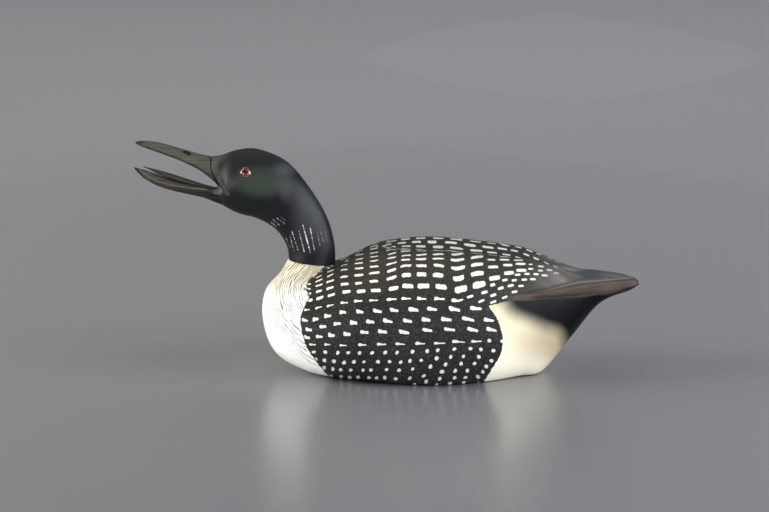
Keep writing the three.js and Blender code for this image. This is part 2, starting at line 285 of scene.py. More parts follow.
def smooth_line(places, steps=6):
    """Places along a spline through places."""
    return smooth_rows(places, np.linspace(0, len(places) - 1, (len(places) - 1) * steps + 1))


def from_stroke(places, start, end):
    """How far places are from a straight stroke, and how far along it they lie, from 0 to 1."""
    run = np.asarray(end, float) - start
    along = (places - start) @ run / (run @ run)
    away = places - (start + np.clip(along, 0, 1)[:, None] * run)
    return np.linalg.norm(away, axis=1), along


def from_line(places, line):
    """How far places are from a smooth line through places."""
    corners = smooth_line(line)
    return np.min([from_stroke(places, *ends)[0] for ends in zip(corners[:-1], corners[1:])], axis=0)


def from_outline(places, outline):
    """How far places are from a closed outline, below zero inside it."""
    corners = np.asarray(outline, float)
    nearest = np.full(len(places), np.inf)
    inside = np.zeros(len(places), bool)
    for start, end in zip(corners, np.roll(corners, -1, 0)):
        run = end - start
        if not run.any():
            continue
        nearest = np.minimum(nearest, from_stroke(places, start, end)[0])
        if run[1]:
            level = (start[1] > places[:, 1]) != (end[1] > places[:, 1])
            crossing = start[0] + (places[:, 1] - start[1]) / run[1] * run[0]
            inside ^= level & (places[:, 0] < crossing)
    return np.where(inside, -nearest, nearest)


def from_area(places, lines, corners):
    """How far places are from an area between smooth lines and corners, below zero inside it."""
    return from_outline(places, np.vstack([*(smooth_line(line) for line in lines), corners]))


def put_in_scene(name, data):
    made = bpy.data.objects.new(name, data)
    bpy.context.scene.collection.objects.link(made)
    return made


def add_fields(mesh, fields):
    """Stores values on the points of a mesh, three to a point, as an attribute for each field."""
    for field, values in fields.items():
        layer = mesh.attributes.new(field, "FLOAT_VECTOR", "POINT")
        layer.data.foreach_set("vector", np.asarray(values, np.float32).ravel())


def make_object(name, points, faces, fields=None):
    """A smooth mesh object at the origin, with its fields."""
    mesh = bpy.data.meshes.new(name)
    mesh.from_pydata(np.asarray(points).tolist(), [], [list(face) for face in faces])
    mesh.validate()
    mesh.shade_smooth()
    add_fields(mesh, fields or {})
    return put_in_scene(name, mesh)


def volume_inside(points, faces):
    """Volume inside a closed skin of quads and triangles, below zero if it is inside out."""
    total = 0.0
    for face in faces:
        a, b, c = (points[corner] for corner in face[:3])
        total += a @ np.cross(b, c)
        if len(face) == 4:
            total += a @ np.cross(c, points[face[3]])
    return total / 6


def skin_faces(ring_count, side_count):
    """Faces of a tube of rings, with a fan on each end round two added middle points."""
    grid = np.arange(ring_count * side_count).reshape(ring_count, side_count)
    beside = np.roll(grid, -1, 1)
    quads = np.stack([grid[:-1], beside[:-1], beside[1:], grid[1:]], -1).reshape(-1, 4)
    first = ring_count * side_count
    start = [(first, b, a) for a, b in zip(grid[0], beside[0])]
    end = [(first + 1, a, b) for a, b in zip(grid[-1], beside[-1])]
    return [tuple(quad) for quad in quads.tolist()] + start + end


def tube(points):
    """Points and outward faces of a closed tube over an array of rings of points."""
    count, sides = points.shape[:2]
    middles = points[[0, -1]].mean(1)
    corners = np.vstack([points.reshape(-1, 3), middles])
    faces = skin_faces(count, sides)
    if volume_inside(corners, faces) < 0:
        faces = [face[::-1] for face in faces]
    return corners, faces


def even_angles(sides):
    return np.arange(sides) / sides * 2 * math.pi


# Body

def ring_at_x(rows, x, first=0):
    """Places in a table of upright rings at which the rings stand at x."""
    places = np.linspace(first, len(rows) - 1, LOOKUPS)
    return np.interp(x, np.maximum.accumulate(smooth_rows(rows, places)[:, 0]), places)


def body_half_rings():
    """Half rings of the body from the middle of the back to the keel, dense and unevenly spaced."""
    turn = np.linspace(math.pi / 2, -math.pi / 2, DENSE)
    front_at = np.linspace(0, UPRIGHT_ROW, BODY_FRONT_RINGS, endpoint=False)
    fullness = np.interp(front_at, *zip(*SHOULDER_FULLNESS))
    swell = COLLAR_LIP * np.maximum(0, 1 - front_at)
    front = rings(BODY_RINGS, front_at, turn, fullness, swell)

    place = np.linspace(0, 1, BODY_REAR_RINGS)
    upright_x = BODY_RINGS[UPRIGHT_ROW][0]
    x = upright_x + (TAIL_RINGS[-1][0] - upright_x) * np.sin(place * math.pi / 2) ** REAR_CROWDING
    hull_at = ring_at_x(BODY_RINGS, x, UPRIGHT_ROW)
    hull = rings(BODY_RINGS, hull_at, turn, HULL_FULLNESS)
    tail_at = ring_at_x(TAIL_RINGS, x)
    tail = rings(TAIL_RINGS, tail_at, turn, TAIL_FULLNESS)
    tail_rows = smooth_rows(TAIL_RINGS, tail_at)
    middle = (tail_rows[:, 1] + tail_rows[:, 3]) / 2 * SHARE[2]
    shrink = np.clip(1 - (x - BODY_RINGS[-1][0]) / HULL_TAPER, 0, 1)

    blend = LEDGE_BLEND + (LEDGE_HOLLOW - LEDGE_BLEND) * smoothstep(-turn, *LEDGE_TURN)
    tail_start = TAIL_RINGS[0][0]
    rear = np.zeros((len(x), DENSE, 3))
    for index in range(len(x)):
        reach = []
        for part in (hull, tail):
            y = part[index, :, 1]
            z = part[index, :, 2] - middle[index]
            around = np.arctan2(z, np.maximum(y, 0))
            order = np.argsort(around)
            reach.append(np.interp(turn, around[order], np.hypot(y, z)[order]))
        body, paddle = reach[0] * shrink[index], reach[1]
        radius = body
        if x[index] >= tail_start:
            ease = smoothstep(x[index], tail_start, tail_start + TAIL_EASE)
            blended = 0.5 * (body + paddle + np.sqrt((body - paddle) ** 2 + blend ** 2))
            radius = np.maximum(body, paddle) * (1 - ease) + blended * ease
        rear[index, :, 0] = x[index] * SHARE[0]
        rear[index, :, 1] = radius * np.cos(turn)
        rear[index, :, 2] = middle[index] + radius * np.sin(turn)
    return np.vstack([front, rear])


def ease_to_ground(half_rings):
    """Planes the underside flat, with a narrow rounded edge."""
    z = half_rings[..., 2]
    left_over = UNDERSIDE_EDGE ** 2 / (4 * PLANED_DEPTH)
    planed = 0.5 * (z + np.sqrt(z ** 2 + UNDERSIDE_EDGE ** 2)) - left_over
    half_rings[..., 2] = np.maximum(planed, 0)
    return half_rings


def even_out(half_rings):
    """Half rings with their points spread evenly from the back to the ground and to the keel,
    and how far round each point lies from the middle of the back."""
    made = []
    across = []
    for ring in half_rings:
        step = np.linalg.norm(np.diff(ring, axis=0), axis=1)
        run = np.concatenate([[0], np.cumsum(step)])
        raised = ring[:, 2] > UNDERSIDE_EDGE
        corner = run[np.nonzero(raised)[0].max()] if raised.any() else run[-1]
        corner = min(corner, FLANK_MOST * run[-1])
        places = np.concatenate([
            np.linspace(0, corner, FLANK_COLUMNS + 1),
            np.linspace(corner, run[-1], GROUND_COLUMNS + 1)[1:],
        ])
        made.append(np.stack([np.interp(places, run, ring[:, axis]) for axis in range(3)], 1))
        across.append(places)
    return np.array(made), np.array(across)


# Rows of spots, read off the photograph: an upright line across the near side, the number of
# the first row on it, and the heights at which the rows cross it, downwards. Rows 0 and 1 lie
# in the hollow of the back, 2 to 7 are bars on the wing, 8 is keys that line up with the bars,
# 9 to 12 are keys on the flank, and dots lie below them. The small spots on the wing's tip are
# a list of their own.
FLANK_ROWS = [
    (311, 2, [276.5, 280.2, 284, 288.3, 293, 299.6, 309.4, 320, 328.8, 336.9, 343.6, 350.8,
              358.1, 366, 374, 382, 390]),
    (343, 2, [261.3, 265.1, 269.6, 276.3, 284.5, 291.2, 301.6, 311.6, 322, 333, 344.2, 352,
              361, 368.8, 376.5, 385, 393]),
    (387, 2, [254.8, 258.9, 264.7, 271.5, 279.4, 288.8, 299.6, 309.1, 320.5, 330, 343.6, 351,
              360, 368.5, 377, 385, 393]),
    (404, 2, [251, 255.3, 259.6, 265.6, 273.9, 285.7, 298.2, 308.7, 320.5, 330.4, 343.6, 350.6,
              360.5, 369.5, 378.5, 386, 393]),
    (437, 2, [250.4, 254, 258.4, 265.1, 273.9, 286.5, 298.4, 308.3, 318.2, 328.6, 342, 348.9,
              357.3, 364, 371, 378, 384]),
    (456, 2, [249.8, 254.3, 260.1, 267.9, 278.2, 289.2, 300, 308.4, 318, 327.8, 341, 347.4,
              355.2, 362.5, 369.3, 376.7, 382]),
    (476, 2, [247, 251.4, 256.4, 264, 273.2, 285.3, 294.3, 307.9, 319, 328.6, 340.5, 347.5,
              355, 362, 369, 375.5, 381]),
    (491, 7, [281, 293, 306, 319, 328.8, 340, 350, 359.6, 367, 374, 381, 388]),
]
ROWS_APART_LEAST = 1.5
FAR_OFF = 99.0  # farther than any spot or string reaches
LAST_WING_ROW, LAST_KEY_ROW, ROW_RANGE = 8, 12, (-3, 24)
DOTS_BEHIND = 482  # behind this pixel the last row of keys is dots

# Where the spots of each row lie, in pixels across, from the breast to the rump
BAR_COLUMNS = [
    282, 295, 308.2, 319.7, 330.4, 344.8, 359.1, 373.9, 391.7, 405.5, 421.5, 437.5, 456.8, 476.6, 494,
]
HOLLOW_COLUMNS = [*BAR_COLUMNS[:-1], 493, 506.5, 519, 530, 540, 549.5, 558.5, 567]
LOWER_COLUMNS = {
    9: [294, 306, 316.5, 328, 342.6, 360.8, 377, 394, 412.8, 432, 453, 475.2, 498],
    10: [297, 310, 323.2, 336.6, 354.3, 370.9, 387.8, 407.6, 425.4, 444.2, 467, 487.3, 508],
    11: [295, 307.4, 319.8, 332.3, 347.8, 364, 382.8, 402.7, 427, 449, 471, 490.8, 510],
    12: [286, 300, 313.5, 327.4, 344, 361.8, 380.8, 400.2, 419.4, 438.7, 458.6, 475.8, 489, 500],
    13: [304, 315.5, 325.6, 337.4, 347.8, 359.6, 371, 384.7, 396.4, 410.6, 426, 437.4, 453.5,
         468.4, 480.3, 492],
    14: [304, 316.2, 325.6, 334.7, 344, 355, 364.1, 377.1, 389, 400.4, 410.6, 421.4, 437, 449.6,
         463.1, 478, 491],
    15: [312, 323.9, 332.6, 341.6, 351.3, 362.8, 370.6, 385.9, 400.2, 413.3, 431.7, 446, 459.9,
         473, 484, 496],
    16: [321, 332, 341.6, 350.5, 359.1, 369.2, 376.6, 385, 393.9, 409.4, 423.7, 443.2, 454.6,
         467.2, 480.6, 493],
    17: [326, 338, 350, 362, 374, 387, 400, 413, 426, 439, 453, 465.6, 476, 488],
    18: [330, 343, 356, 369, 382, 395, 408, 421, 434.7, 449, 463.1, 477.6, 490],
}
COLUMN_GOES_ON = 13

# By row: half length and half height of the spots in pixels, how far they tilt, and how much
# narrower a key's shank is. By pixel along the body: shares of those.
SPOT_LENGTH = ([0, 1, 3, 5, 6, 7, 8, 9, 11, 12, 13], [5, 5, 5, 5.4, 5, 5.3, 5, 5, 5, 5, 1.85])
SPOT_HEIGHT = ([0, 1, 2, 3, 4, 5, 6, 7, 8, 9, 11, 12, 13],
               [2.9, 2.9, 0.8, 0.8, 1, 1.35, 1.95, 2.25, 1.75, 2.2, 2.1, 1.35, 1.75])
SPOT_TILT = ([7, 8, 9, 11, 12, 13], [0.0, 0.03, 0.2, 0.2, 0.05, -0.1])
KEY_SHANK = ([5, 6, 7, 8, 9, 11, 12], [0.05, 0.22, 0.25, 1, 0.62, 0.6, 1])
LENGTH_ALONG = ([306, 330, 345, 372, 400, 440, 457, 477, 492, 507, 519, 545],
                [0.62, 0.66, 0.7, 0.85, 0.96, 1, 1.22, 1.18, 1, 0.88, 0.62, 0.5])
BAR_HEIGHT_ALONG = ([306, 343, 372, 400, 440, 457, 477, 492, 507, 519, 545],
                    [0.66, 0.68, 0.78, 0.92, 1, 1.34, 1.34, 1, 0.88, 0.66, 0.5])
HOLLOW_HEIGHT_ALONG = ([340, 400, 440, 480, 520], [0.4, 0.7, 1, 0.8, 0.5])
KEY_HEIGHT_ALONG = ([306, 345], [0.82, 1])
SHANK_ALONG = ([300, 400, 440], [1, 0.9, 0.1])
CREST_MARK_HEIGHT = 0.75
DOT_SIZE = (1.85, 1.75)
DOT_SQUARENESS, BAR_SQUARENESS = 2.1, 4.4
ROW_7_SHIFT, HOLLOW_SHIFT = -0.12, 0.3
CHANCES = 4096
COLUMNS_AT_MOST = 97  # more than a row has, so that each spot draws chances of its own
LENGTH_CHANCE, HEIGHT_CHANCE, TILT_CHANCE = 0.1, 0.13, 0.06
DOT_WANDER, BAR_WANDER, ROW_WANDER = 0.1, 0.04, 0.05
TIP_BORDER, BREAST_BORDER = (-0.4, 0.6), (0.4, 1.7)  # pixels over which the spots come in

# The spots on the wing's tip, one by one: middle, half length and half height, in pixels
TIP_SPOTS = [
    [487, 254.2, 4.6, 0.6], [504, 256.6, 4.4, 0.6], [489.5, 259.7, 4.8, 0.9],
    [503.5, 259.7, 4.6, 0.9], [517.5, 260.2, 4.6, 0.6], [492, 266.8, 5.0, 1.5],
    [506.5, 265, 4.5, 1.3], [519.6, 263.8, 4.9, 1.2], [529.6, 264.3, 1.9, 0.7],
    [540, 266.3, 3.0, 0.9], [549, 265, 2.4, 0.8], [493.2, 277.8, 5.2, 2.3],
    [507.6, 272.8, 4.6, 1.9], [520.2, 270.2, 4.8, 1.6], [529.6, 268.8, 2.6, 0.9],
    [539.3, 270.5, 2.4, 0.9], [548.6, 270, 2.7, 1.0], [491.3, 284.5, 2.4, 1.5],
    [503.5, 279.8, 2.6, 1.2], [516.4, 274.5, 2.6, 1.1], [525.8, 273.7, 2.5, 1.1],
    [534.8, 274, 2.5, 1.1], [543.5, 275.3, 3.0, 1.2], [555.5, 273, 2.7, 1.1],
    [483.2, 291.8, 3.1, 1.5], [499.3, 287.8, 2.8, 1.4], [509.3, 285.3, 3.0, 1.3],
    [513, 280, 2.5, 1.2], [523, 279.4, 2.7, 1.1], [531.6, 279, 2.6, 1.1],
    [469, 296, 3.1, 1.3], [491.9, 294.7, 3.0, 1.4], [519.6, 285.6, 2.6, 1.1],
    [480, 300.4, 3.1, 1.2], [503.3, 296.8, 2.7, 1.1], [513.2, 291.4, 2.7, 1.2],
    [491.8, 301.4, 3.0, 1.1],
]
TIP_PATCH = [
    [486, 225], [486, 288.4], [475, 290.6], [464, 293.4], [464, 303.4], [476, 304.6], [497, 304.4],
    [650, 304.4], [650, 225],
]
# How many degrees those spots lean by their height, how that fades along the tip, and how many
# degrees the last ones are turned the other way
TIP_LEAN = ([262, 272, 284, 300], [2, -5, -14, -22])
TIP_LEAN_FADE = ([505, 525], [1, 0])
TIP_END_TURN = ([520, 550], [0, 6])
TIP_THINNER = 0.92

# The back's hollow: its rows of spots, the number that the crest beside it has, and the bare
# ridge along the crest
HOLLOW_ROW_SPACING = 13 * MM
CREST_ROW = 1.25
CREST_BARE = (0.8 * MM, 2.6 * MM)
CREST_SMOOTHING = 9


def row_numbers(photo, table):
    """The number of the row at each place, and how many pixels the rows are apart there."""
    first = min(start for _, start, _ in table)
    last = max(start + len(heights) for _, start, heights in table)
    lines = []
    for row in range(first, last):
        known = [(x, heights[row - start]) for x, start, heights in table
                 if start <= row < start + len(heights)]
        line = np.interp(photo[:, 0], *zip(*known))
        lines.append(np.maximum(line, lines[-1] + ROWS_APART_LEAST) if lines else line)
    lines = np.array(lines)
    gaps = np.diff(lines, axis=0)
    steps = np.clip((photo[:, 1] - lines[:-1]) / gaps, 0, 1)
    number = first + steps.sum(0)
    number += np.minimum(0, photo[:, 1] - lines[0]) / gaps[0]
    number += np.maximum(0, photo[:, 1] - lines[-1]) / gaps[-1]
    place = np.clip(np.round(number).astype(int) - first, 1, len(gaps) - 1)[None]
    gap = (np.take_along_axis(gaps, place, 0) + np.take_along_axis(gaps, place - 1, 0))[0] / 2
    return number, gap


def hollow_rows(points, across, number):
    """Row numbers that count down from the wing's crest into the hollow of the back, how fully
    spots show, which they don't on the crest itself, and which points lie in the hollow."""
    crest = np.argmax(points[:, :FLANK_COLUMNS, 2], 1).astype(float)
    window = np.ones(CREST_SMOOTHING) / CREST_SMOOTHING
    crest = np.convolve(np.pad(crest, CREST_SMOOTHING // 2, mode="edge"), window, "valid")
    made = np.array(number)
    shown = np.ones(across.shape)
    inside = np.zeros(across.shape, bool)
    columns = np.arange(across.shape[1])
    for ring, start in enumerate(crest):
        inward = np.interp(start, columns, across[ring]) - across[ring]
        inner = inward > 0
        inside[ring] = inner
        made[ring, inner] = CREST_ROW - inward[inner] / HOLLOW_ROW_SPACING
        if inner.any():
            shown[ring] = smoothstep(np.abs(inward), *CREST_BARE)
    return made, shown, inside


def spot_columns(x, row, inner):
    """The number of the column at each place, and how many pixels the columns are apart there."""
    column = np.zeros(len(x))
    pitch = np.zeros(len(x))
    lowest = max(LOWER_COLUMNS)
    tables = [(row <= LAST_WING_ROW, BAR_COLUMNS)]
    tables += [(row == number, places) for number, places in LOWER_COLUMNS.items()]
    tables += [(row > lowest, LOWER_COLUMNS[lowest]), (inner, HOLLOW_COLUMNS)]
    for where, places in tables:
        places = [*places, places[-1] + COLUMN_GOES_ON, places[-1] + 2 * COLUMN_GOES_ON]
        column[where] = np.interp(x[where], places, np.arange(len(places)))
        pitch[where] = np.interp(x[where], places, np.gradient(places))
    column[row == 7] += ROW_7_SHIFT
    column[inner & (row % 2 == 0)] += HOLLOW_SHIFT
    return column, pitch


def spot_fields(points, across, photo, breast):
    """Attributes of the spots: place in rows and columns, jitter, size, and the grid's sizes."""
    rng = np.random.default_rng(7)
    flank, flank_gap = row_numbers(photo, FLANK_ROWS)
    hollow = hollow_rows(points, across, flank.reshape(across.shape))
    number, shown, inner = (values.reshape(-1) for values in hollow)
    tip_edge = from_outline(photo, TIP_PATCH)
    on_tip = smoothstep(-tip_edge, 0, 1) * ~inner
    shown = np.where(inner, shown, shown * smoothstep(tip_edge, *TIP_BORDER))
    shown *= smoothstep(breast, *BREAST_BORDER)
    row = np.clip(np.round(number), *ROW_RANGE)
    gap = np.where(inner, HOLLOW_ROW_SPACING / PIXEL, flank_gap)
    x = photo[:, 0]
    column, pitch = spot_columns(x, row, inner)

    dotted = (row > LAST_KEY_ROW) | (row == LAST_KEY_ROW) & (x > DOTS_BEHIND)
    on_wing = row <= LAST_WING_ROW
    cell = ((row * COLUMNS_AT_MOST + np.round(column)) % CHANCES).astype(int)
    chance = rng.uniform(-1, 1, (CHANCES, 5))[cell]

    length = np.interp(row, *SPOT_LENGTH) * np.interp(x, *LENGTH_ALONG)
    height = np.interp(row, *SPOT_HEIGHT)
    height *= np.where(inner, np.interp(x, *HOLLOW_HEIGHT_ALONG), 1)
    height = np.where((row < 2) & ~inner, CREST_MARK_HEIGHT, height)
    height *= np.where(on_wing & ~inner, np.interp(x, *BAR_HEIGHT_ALONG), 1)
    height *= np.where(~on_wing & (row <= LAST_KEY_ROW), np.interp(x, *KEY_HEIGHT_ALONG), 1)
    length = np.where(dotted, DOT_SIZE[0], length) * (1 + LENGTH_CHANCE * chance[:, 2])
    height = np.where(dotted, DOT_SIZE[1], height) * (1 + HEIGHT_CHANCE * chance[:, 3])
    shank = np.where(dotted, 0, np.interp(row, *KEY_SHANK))
    shank = np.where(row < LAST_WING_ROW, shank * np.interp(x, *SHANK_ALONG), shank)
    squareness = np.where(dotted, DOT_SQUARENESS, BAR_SQUARENESS)
    tilt = np.interp(row, *SPOT_TILT) + TILT_CHANCE * chance[:, 4]
    wander = np.where(dotted, DOT_WANDER, BAR_WANDER)
    return {
        "spot_place": np.stack([column, number, shown], 1),
        "spot_shift": np.stack([wander * chance[:, 0], ROW_WANDER * chance[:, 1], tilt], 1),
        "spot_size": np.stack([length, height, shank], 1),
        "spot_grid": np.stack([pitch, gap, squareness], 1),
        "photo_place": np.stack([photo[:, 0], photo[:, 1], on_tip], 1),
    }


# Borders of the body's paint as smooth lines of pixels, each area with the corners that close
# it, well off the decoy: the black against the breast and against the rump, the tail's ledge
# from below and from above, the edge of the black under the tail, and of the unspotted tail
BLACK_FRONT = [
    [346, 236], [334.4, 264], [325.5, 265.8], [317, 274.7], [308.4, 281.6], [307, 287.4],
    [309.6, 295.8], [306.6, 303], [302.4, 312.6], [301.3, 322], [303.4, 334.7], [307.6, 346.3],
    [314, 356.8], [322.4, 368.4], [328.7, 375.8], [336, 386],
]
BLACK_REAR = [
    [479, 390], [482.5, 382], [491.3, 367.2], [499, 354], [501.6, 340], [500.3, 330.5],
    [495, 316.7], [487, 305.3],
]
LEDGE_UNDER = [
    [507, 300.4], [530.6, 299.6], [554.8, 298], [579, 297], [597, 294.5], [608, 294],
    [622, 289.5], [642, 283],
]
LEDGE_UPPER = [
    [500, 297.5], [516, 294.5], [542.7, 290.3], [573, 283.6], [585, 281.8], [612, 279.5], [642, 277],
]
TAIL_SHADE = [
    [497, 296], [505, 302], [509, 308], [515, 312.5], [525, 316.5], [535, 321], [545, 324.5],
    [555, 328], [562, 334], [566.5, 342], [569, 352],
]
BARE_TAIL = [
    [500, 303], [507, 300], [518, 294], [526, 288], [537, 282], [549, 278], [562, 272],
    [572, 262], [584, 240],
]
BREAST_AREA = ([BLACK_FRONT], [[150, 386], [150, 236]])
RUMP_AREA = ([BLACK_REAR, LEDGE_UNDER], [[700, 283], [700, 390]])
SHADE_AREA = ([TAIL_SHADE], [[700, 352], [700, 250], [497, 250]])
LEDGE_AREA = ([LEDGE_UPPER], [[700, 277], [700, 330], [500, 330]])
BARE_AREA = ([BARE_TAIL], [[700, 240], [700, 330], [500, 330]])


def body_paint_fields(points, across):
    """Attributes that the body's paint is drawn from."""
    photo = to_photo(near_side(points).reshape(-1, 3))
    breast, rump, shade, ledge, bare = (
        from_area(photo, *area) for area in (BREAST_AREA, RUMP_AREA, SHADE_AREA, LEDGE_AREA, BARE_AREA)
    )
    fields = spot_fields(points, across, photo, breast)
    fields["edges"] = np.stack([breast, rump, shade], 1)
    fields["more_edges"] = np.stack([ledge, bare, feather_lines(photo)], 1)
    return fields


# The breast's feather lines are nested arcs: leftmost pixel, its height, and how sharply the
# arc turns above and below it, from the line next to the black to the outermost
FEATHER_ARCS = np.array([
    [303.2, 291.3, 0.041, 0.022],
    [296.3, 293.0, 0.031, 0.019],
    [291.2, 292.4, 0.024, 0.0185],
    [283.9, 293.0, 0.0175, 0.0175],
    [275.7, 296.5, 0.0130, 0.0137],
    [272.4, 301.7, 0.0111, 0.0117],
    [262.0, 305.0, 0.0095, 0.0100],
])
ARC_STEPS = 61


def feather_lines(photo):
    """Which of the breast's nested arcs runs through each place in the photograph."""
    numbers = np.linspace(0, len(FEATHER_ARCS) - 1, ARC_STEPS)
    arcs = smooth_rows(FEATHER_ARCS, numbers)
    best = np.full(len(photo), -1.0)
    previous = None
    for number, (left, height, above, below) in zip(numbers, arcs):
        rise = photo[:, 1] - height
        bend = np.where(rise < 0, above, below)
        gap = photo[:, 0] - (left + bend * rise ** 2)
        if previous is not None:
            crossed = (previous < 0) & (gap >= 0) & (best < 0)
            part = previous[crossed] / (previous[crossed] - gap[crossed])
            best[crossed] = number - (1 - part) * (numbers[1] - numbers[0])
        previous = gap
    best[best < 0] = np.where(previous[best < 0] < 0, numbers[-1] + 1, 0)
    return best


def both_sides(half, mirror=1):
    """Whole rings from half rings: down the +Y side and back up the other, as mirrored."""
    return np.concatenate([half, half[:, -2:0:-1] * mirror], 1)


def make_body():
    half, across = even_out(ease_to_ground(body_half_rings()))
    half[:, [0, -1], 1] = 0
    corners, faces = tube(both_sides(half, [1, -1, 1]))
    fields = {}
    for name, values in body_paint_fields(half, across).items():
        grid = both_sides(values.reshape(*half.shape[:2], 3)).reshape(-1, 3)
        fields[name] = np.vstack([grid, grid[[0, -1]]])
    return make_object("carved_body", corners, faces, fields)


# Head

# Pixels of the line at the bill's root, between which it runs out below, and of the seam
# between the cheek and the chin, with that seam's reach
GROOVE_LINE = [
    [212.2, 150], [212, 158.2], [211.7, 166.6], [214, 175.7], [218.3, 184.1], [221.5, 188.5],
    [225.3, 192.5],
]
GROOVE_RUNS_OUT, GROOVE_LOST = (184, 193), 0.8
CHIN_SEAM, CHIN_SEAM_REACH = (224, 200), (16, 12)

# Half length, half height and depth of a nostril's slot, and the skin that it reaches
NOSTRIL_SLOT_SIZE = (3.4 * MM, 1.0 * MM, 1.3 * MM)
NOSTRIL_REACH = 4 * MM
# The socket's floor below the iris, how far its edge is eased in and out, and the eyelid's
# height, distance from the glass and width
SOCKET_FLOOR = 0.6 * MM
SOCKET_EDGE = (0.5 * MM, 0.3 * MM)
SOCKET_REACH = 6 * MM
LID = (0.35 * MM, 1.1 * MM, 0.8 * MM)


def cut_away(target, *tools):
    for tool in tools:
        cut = target.modifiers.new("cut", "BOOLEAN")
        cut.operation = "DIFFERENCE"
        cut.solver = "EXACT"
        cut.object = tool


def finished_mesh(source, name):
    """The mesh of an object with its modifiers applied."""
    graph = bpy.context.evaluated_depsgraph_get()
    mesh = bpy.data.meshes.new_from_object(source.evaluated_get(graph))
    mesh.name = name
    return mesh


def discard(*objects):
    for each in objects:
        bpy.data.objects.remove(each)


def mesh_array(layer, name, width, kind=float):
    """Values of a mesh's points or edges as an array."""
    values = np.zeros(len(layer) * width, kind)
    layer.foreach_get(name, values)
    return values.reshape(-1, width)


def prism(name, outline, half_width):
    """A closed prism across Y over an outline of x and z."""
    x, z = np.asarray(outline).T
    count = len(x)
    sides = [np.stack([x, np.full(count, y), z], 1) for y in (-half_width, half_width)]
    walls = [(i, (i + 1) % count, (i + 1) % count + count, i + count) for i in range(count)]
    ends = [tuple(range(count))[::-1], tuple(range(count, 2 * count))]
    faces = walls + ends
    if np.sum(x * np.roll(z, -1) - np.roll(x, -1) * z) >= 0:
        faces = [face[::-1] for face in faces]
    return make_object(name, np.vstack(sides), faces)


def mouth_outline():
    """Outline of the open mouth, cut right across between the two halves of the bill."""
    stations = np.array(BILL_STATIONS)[TONGUE_ROOT:]
    upper = smooth_rows(MOUTH_LINE, np.linspace(0, len(MOUTH_LINE) - 1, MOUTH_STEPS))
    lower = smooth_rows(stations[:, [0, 2]], np.linspace(0, len(stations) - 1, MOUTH_STEPS))
    beyond_tip = np.array([[MOUTH_LINE[0][0], stations[-1, 2]]])
    return np.vstack([upper, lower, beyond_tip]) * SHARE[[0, 2]]


def lofted(name, rows, grid, fullness, shift=0.0):
    """A closed loft over a table of rings, with so many rings and sides."""
    count, sides = grid
    points = rings(rows, np.linspace(0, len(rows) - 1, count), even_angles(sides), fullness)
    points[..., 0] += shift
    return make_object(name, *tube(points))


def frame_on_head(place, side):
    """Point, and directions along, up and out, on the skin of the head."""
    at, angle = place
    step = 0.01
    here, ahead = rings(HEAD_RINGS, [at, at + step], np.array([angle]), HEAD_FULLNESS)[:, 0]
    around = rings(HEAD_RINGS, [at], np.array([angle + step]), HEAD_FULLNESS)[0, 0] - here
    along = (ahead - here) / np.linalg.norm(ahead - here)
    out = np.cross(along, around)
    out /= np.linalg.norm(out)
    up = np.cross(out, along)
    mirror = np.array([1, side, 1])
    return here * mirror, along * mirror, up * mirror, out * mirror


def relax(points, edges, weight, rounds):
    """Moves points toward the middle of their neighbours, as far as their weight says."""
    count = np.bincount(edges.ravel(), minlength=len(points))[:, None]
    for _ in range(rounds):
        total = np.zeros_like(points)
        for axis in range(3):
            total[:, axis] += np.bincount(edges[:, 0], points[edges[:, 1], axis], len(points))
            total[:, axis] += np.bincount(edges[:, 1], points[edges[:, 0], axis], len(points))
        points = points + (total / count - points) * weight[:, None]
    return points


def cut_blocks():
    """Meshes of the head with the upper bill, and of the lower bill, with the mouth and the
    trough of the tongue cut out of them."""
    rows = [list(row) for row in HEAD_RINGS]
    for height in (1, 3):
        rows[0][height] -= NECK_TENON / SHARE[2]
    upper = lofted("head_block", rows, HEAD_GRID, HEAD_FULLNESS)
    rows = [[x, chin, x, rim + RIM_WASTE, half, LOWER_BILL_WIDEST]
            for x, chin, rim, half, *_ in BILL_STATIONS]
    lower = lofted("lower_bill_block", rows, LOWER_BILL_GRID, LOWER_BILL_FULLNESS)
    mouth = prism("mouth", mouth_outline(), BEAM / 2)
    rows = []
    for index in range(TONGUE_ROOT, TONGUE_TIP + 1):
        x, _, rim, half, under, *_ = BILL_STATIONS[index]
        seated = index <= TONGUE_SEAT_END
        floor = under - TONGUE_CLEARANCE / SHARE[2] if seated else rim - TROUGH_DEPTH / SHARE[2]
        rows.append([x, floor, x, rim + TROUGH_WASTE, half - BILL_WALL / SHARE[1], TROUGH_WIDEST])
    trough = lofted("trough", rows, TROUGH_GRID, TROUGH_FULLNESS, TONGUE_CLEARANCE)
    meshes = []
    for block in (upper, lower):
        cut_away(block, mouth, trough)
        meshes.append(finished_mesh(block, "cut"))
    discard(upper, lower, mouth, trough)
    return meshes


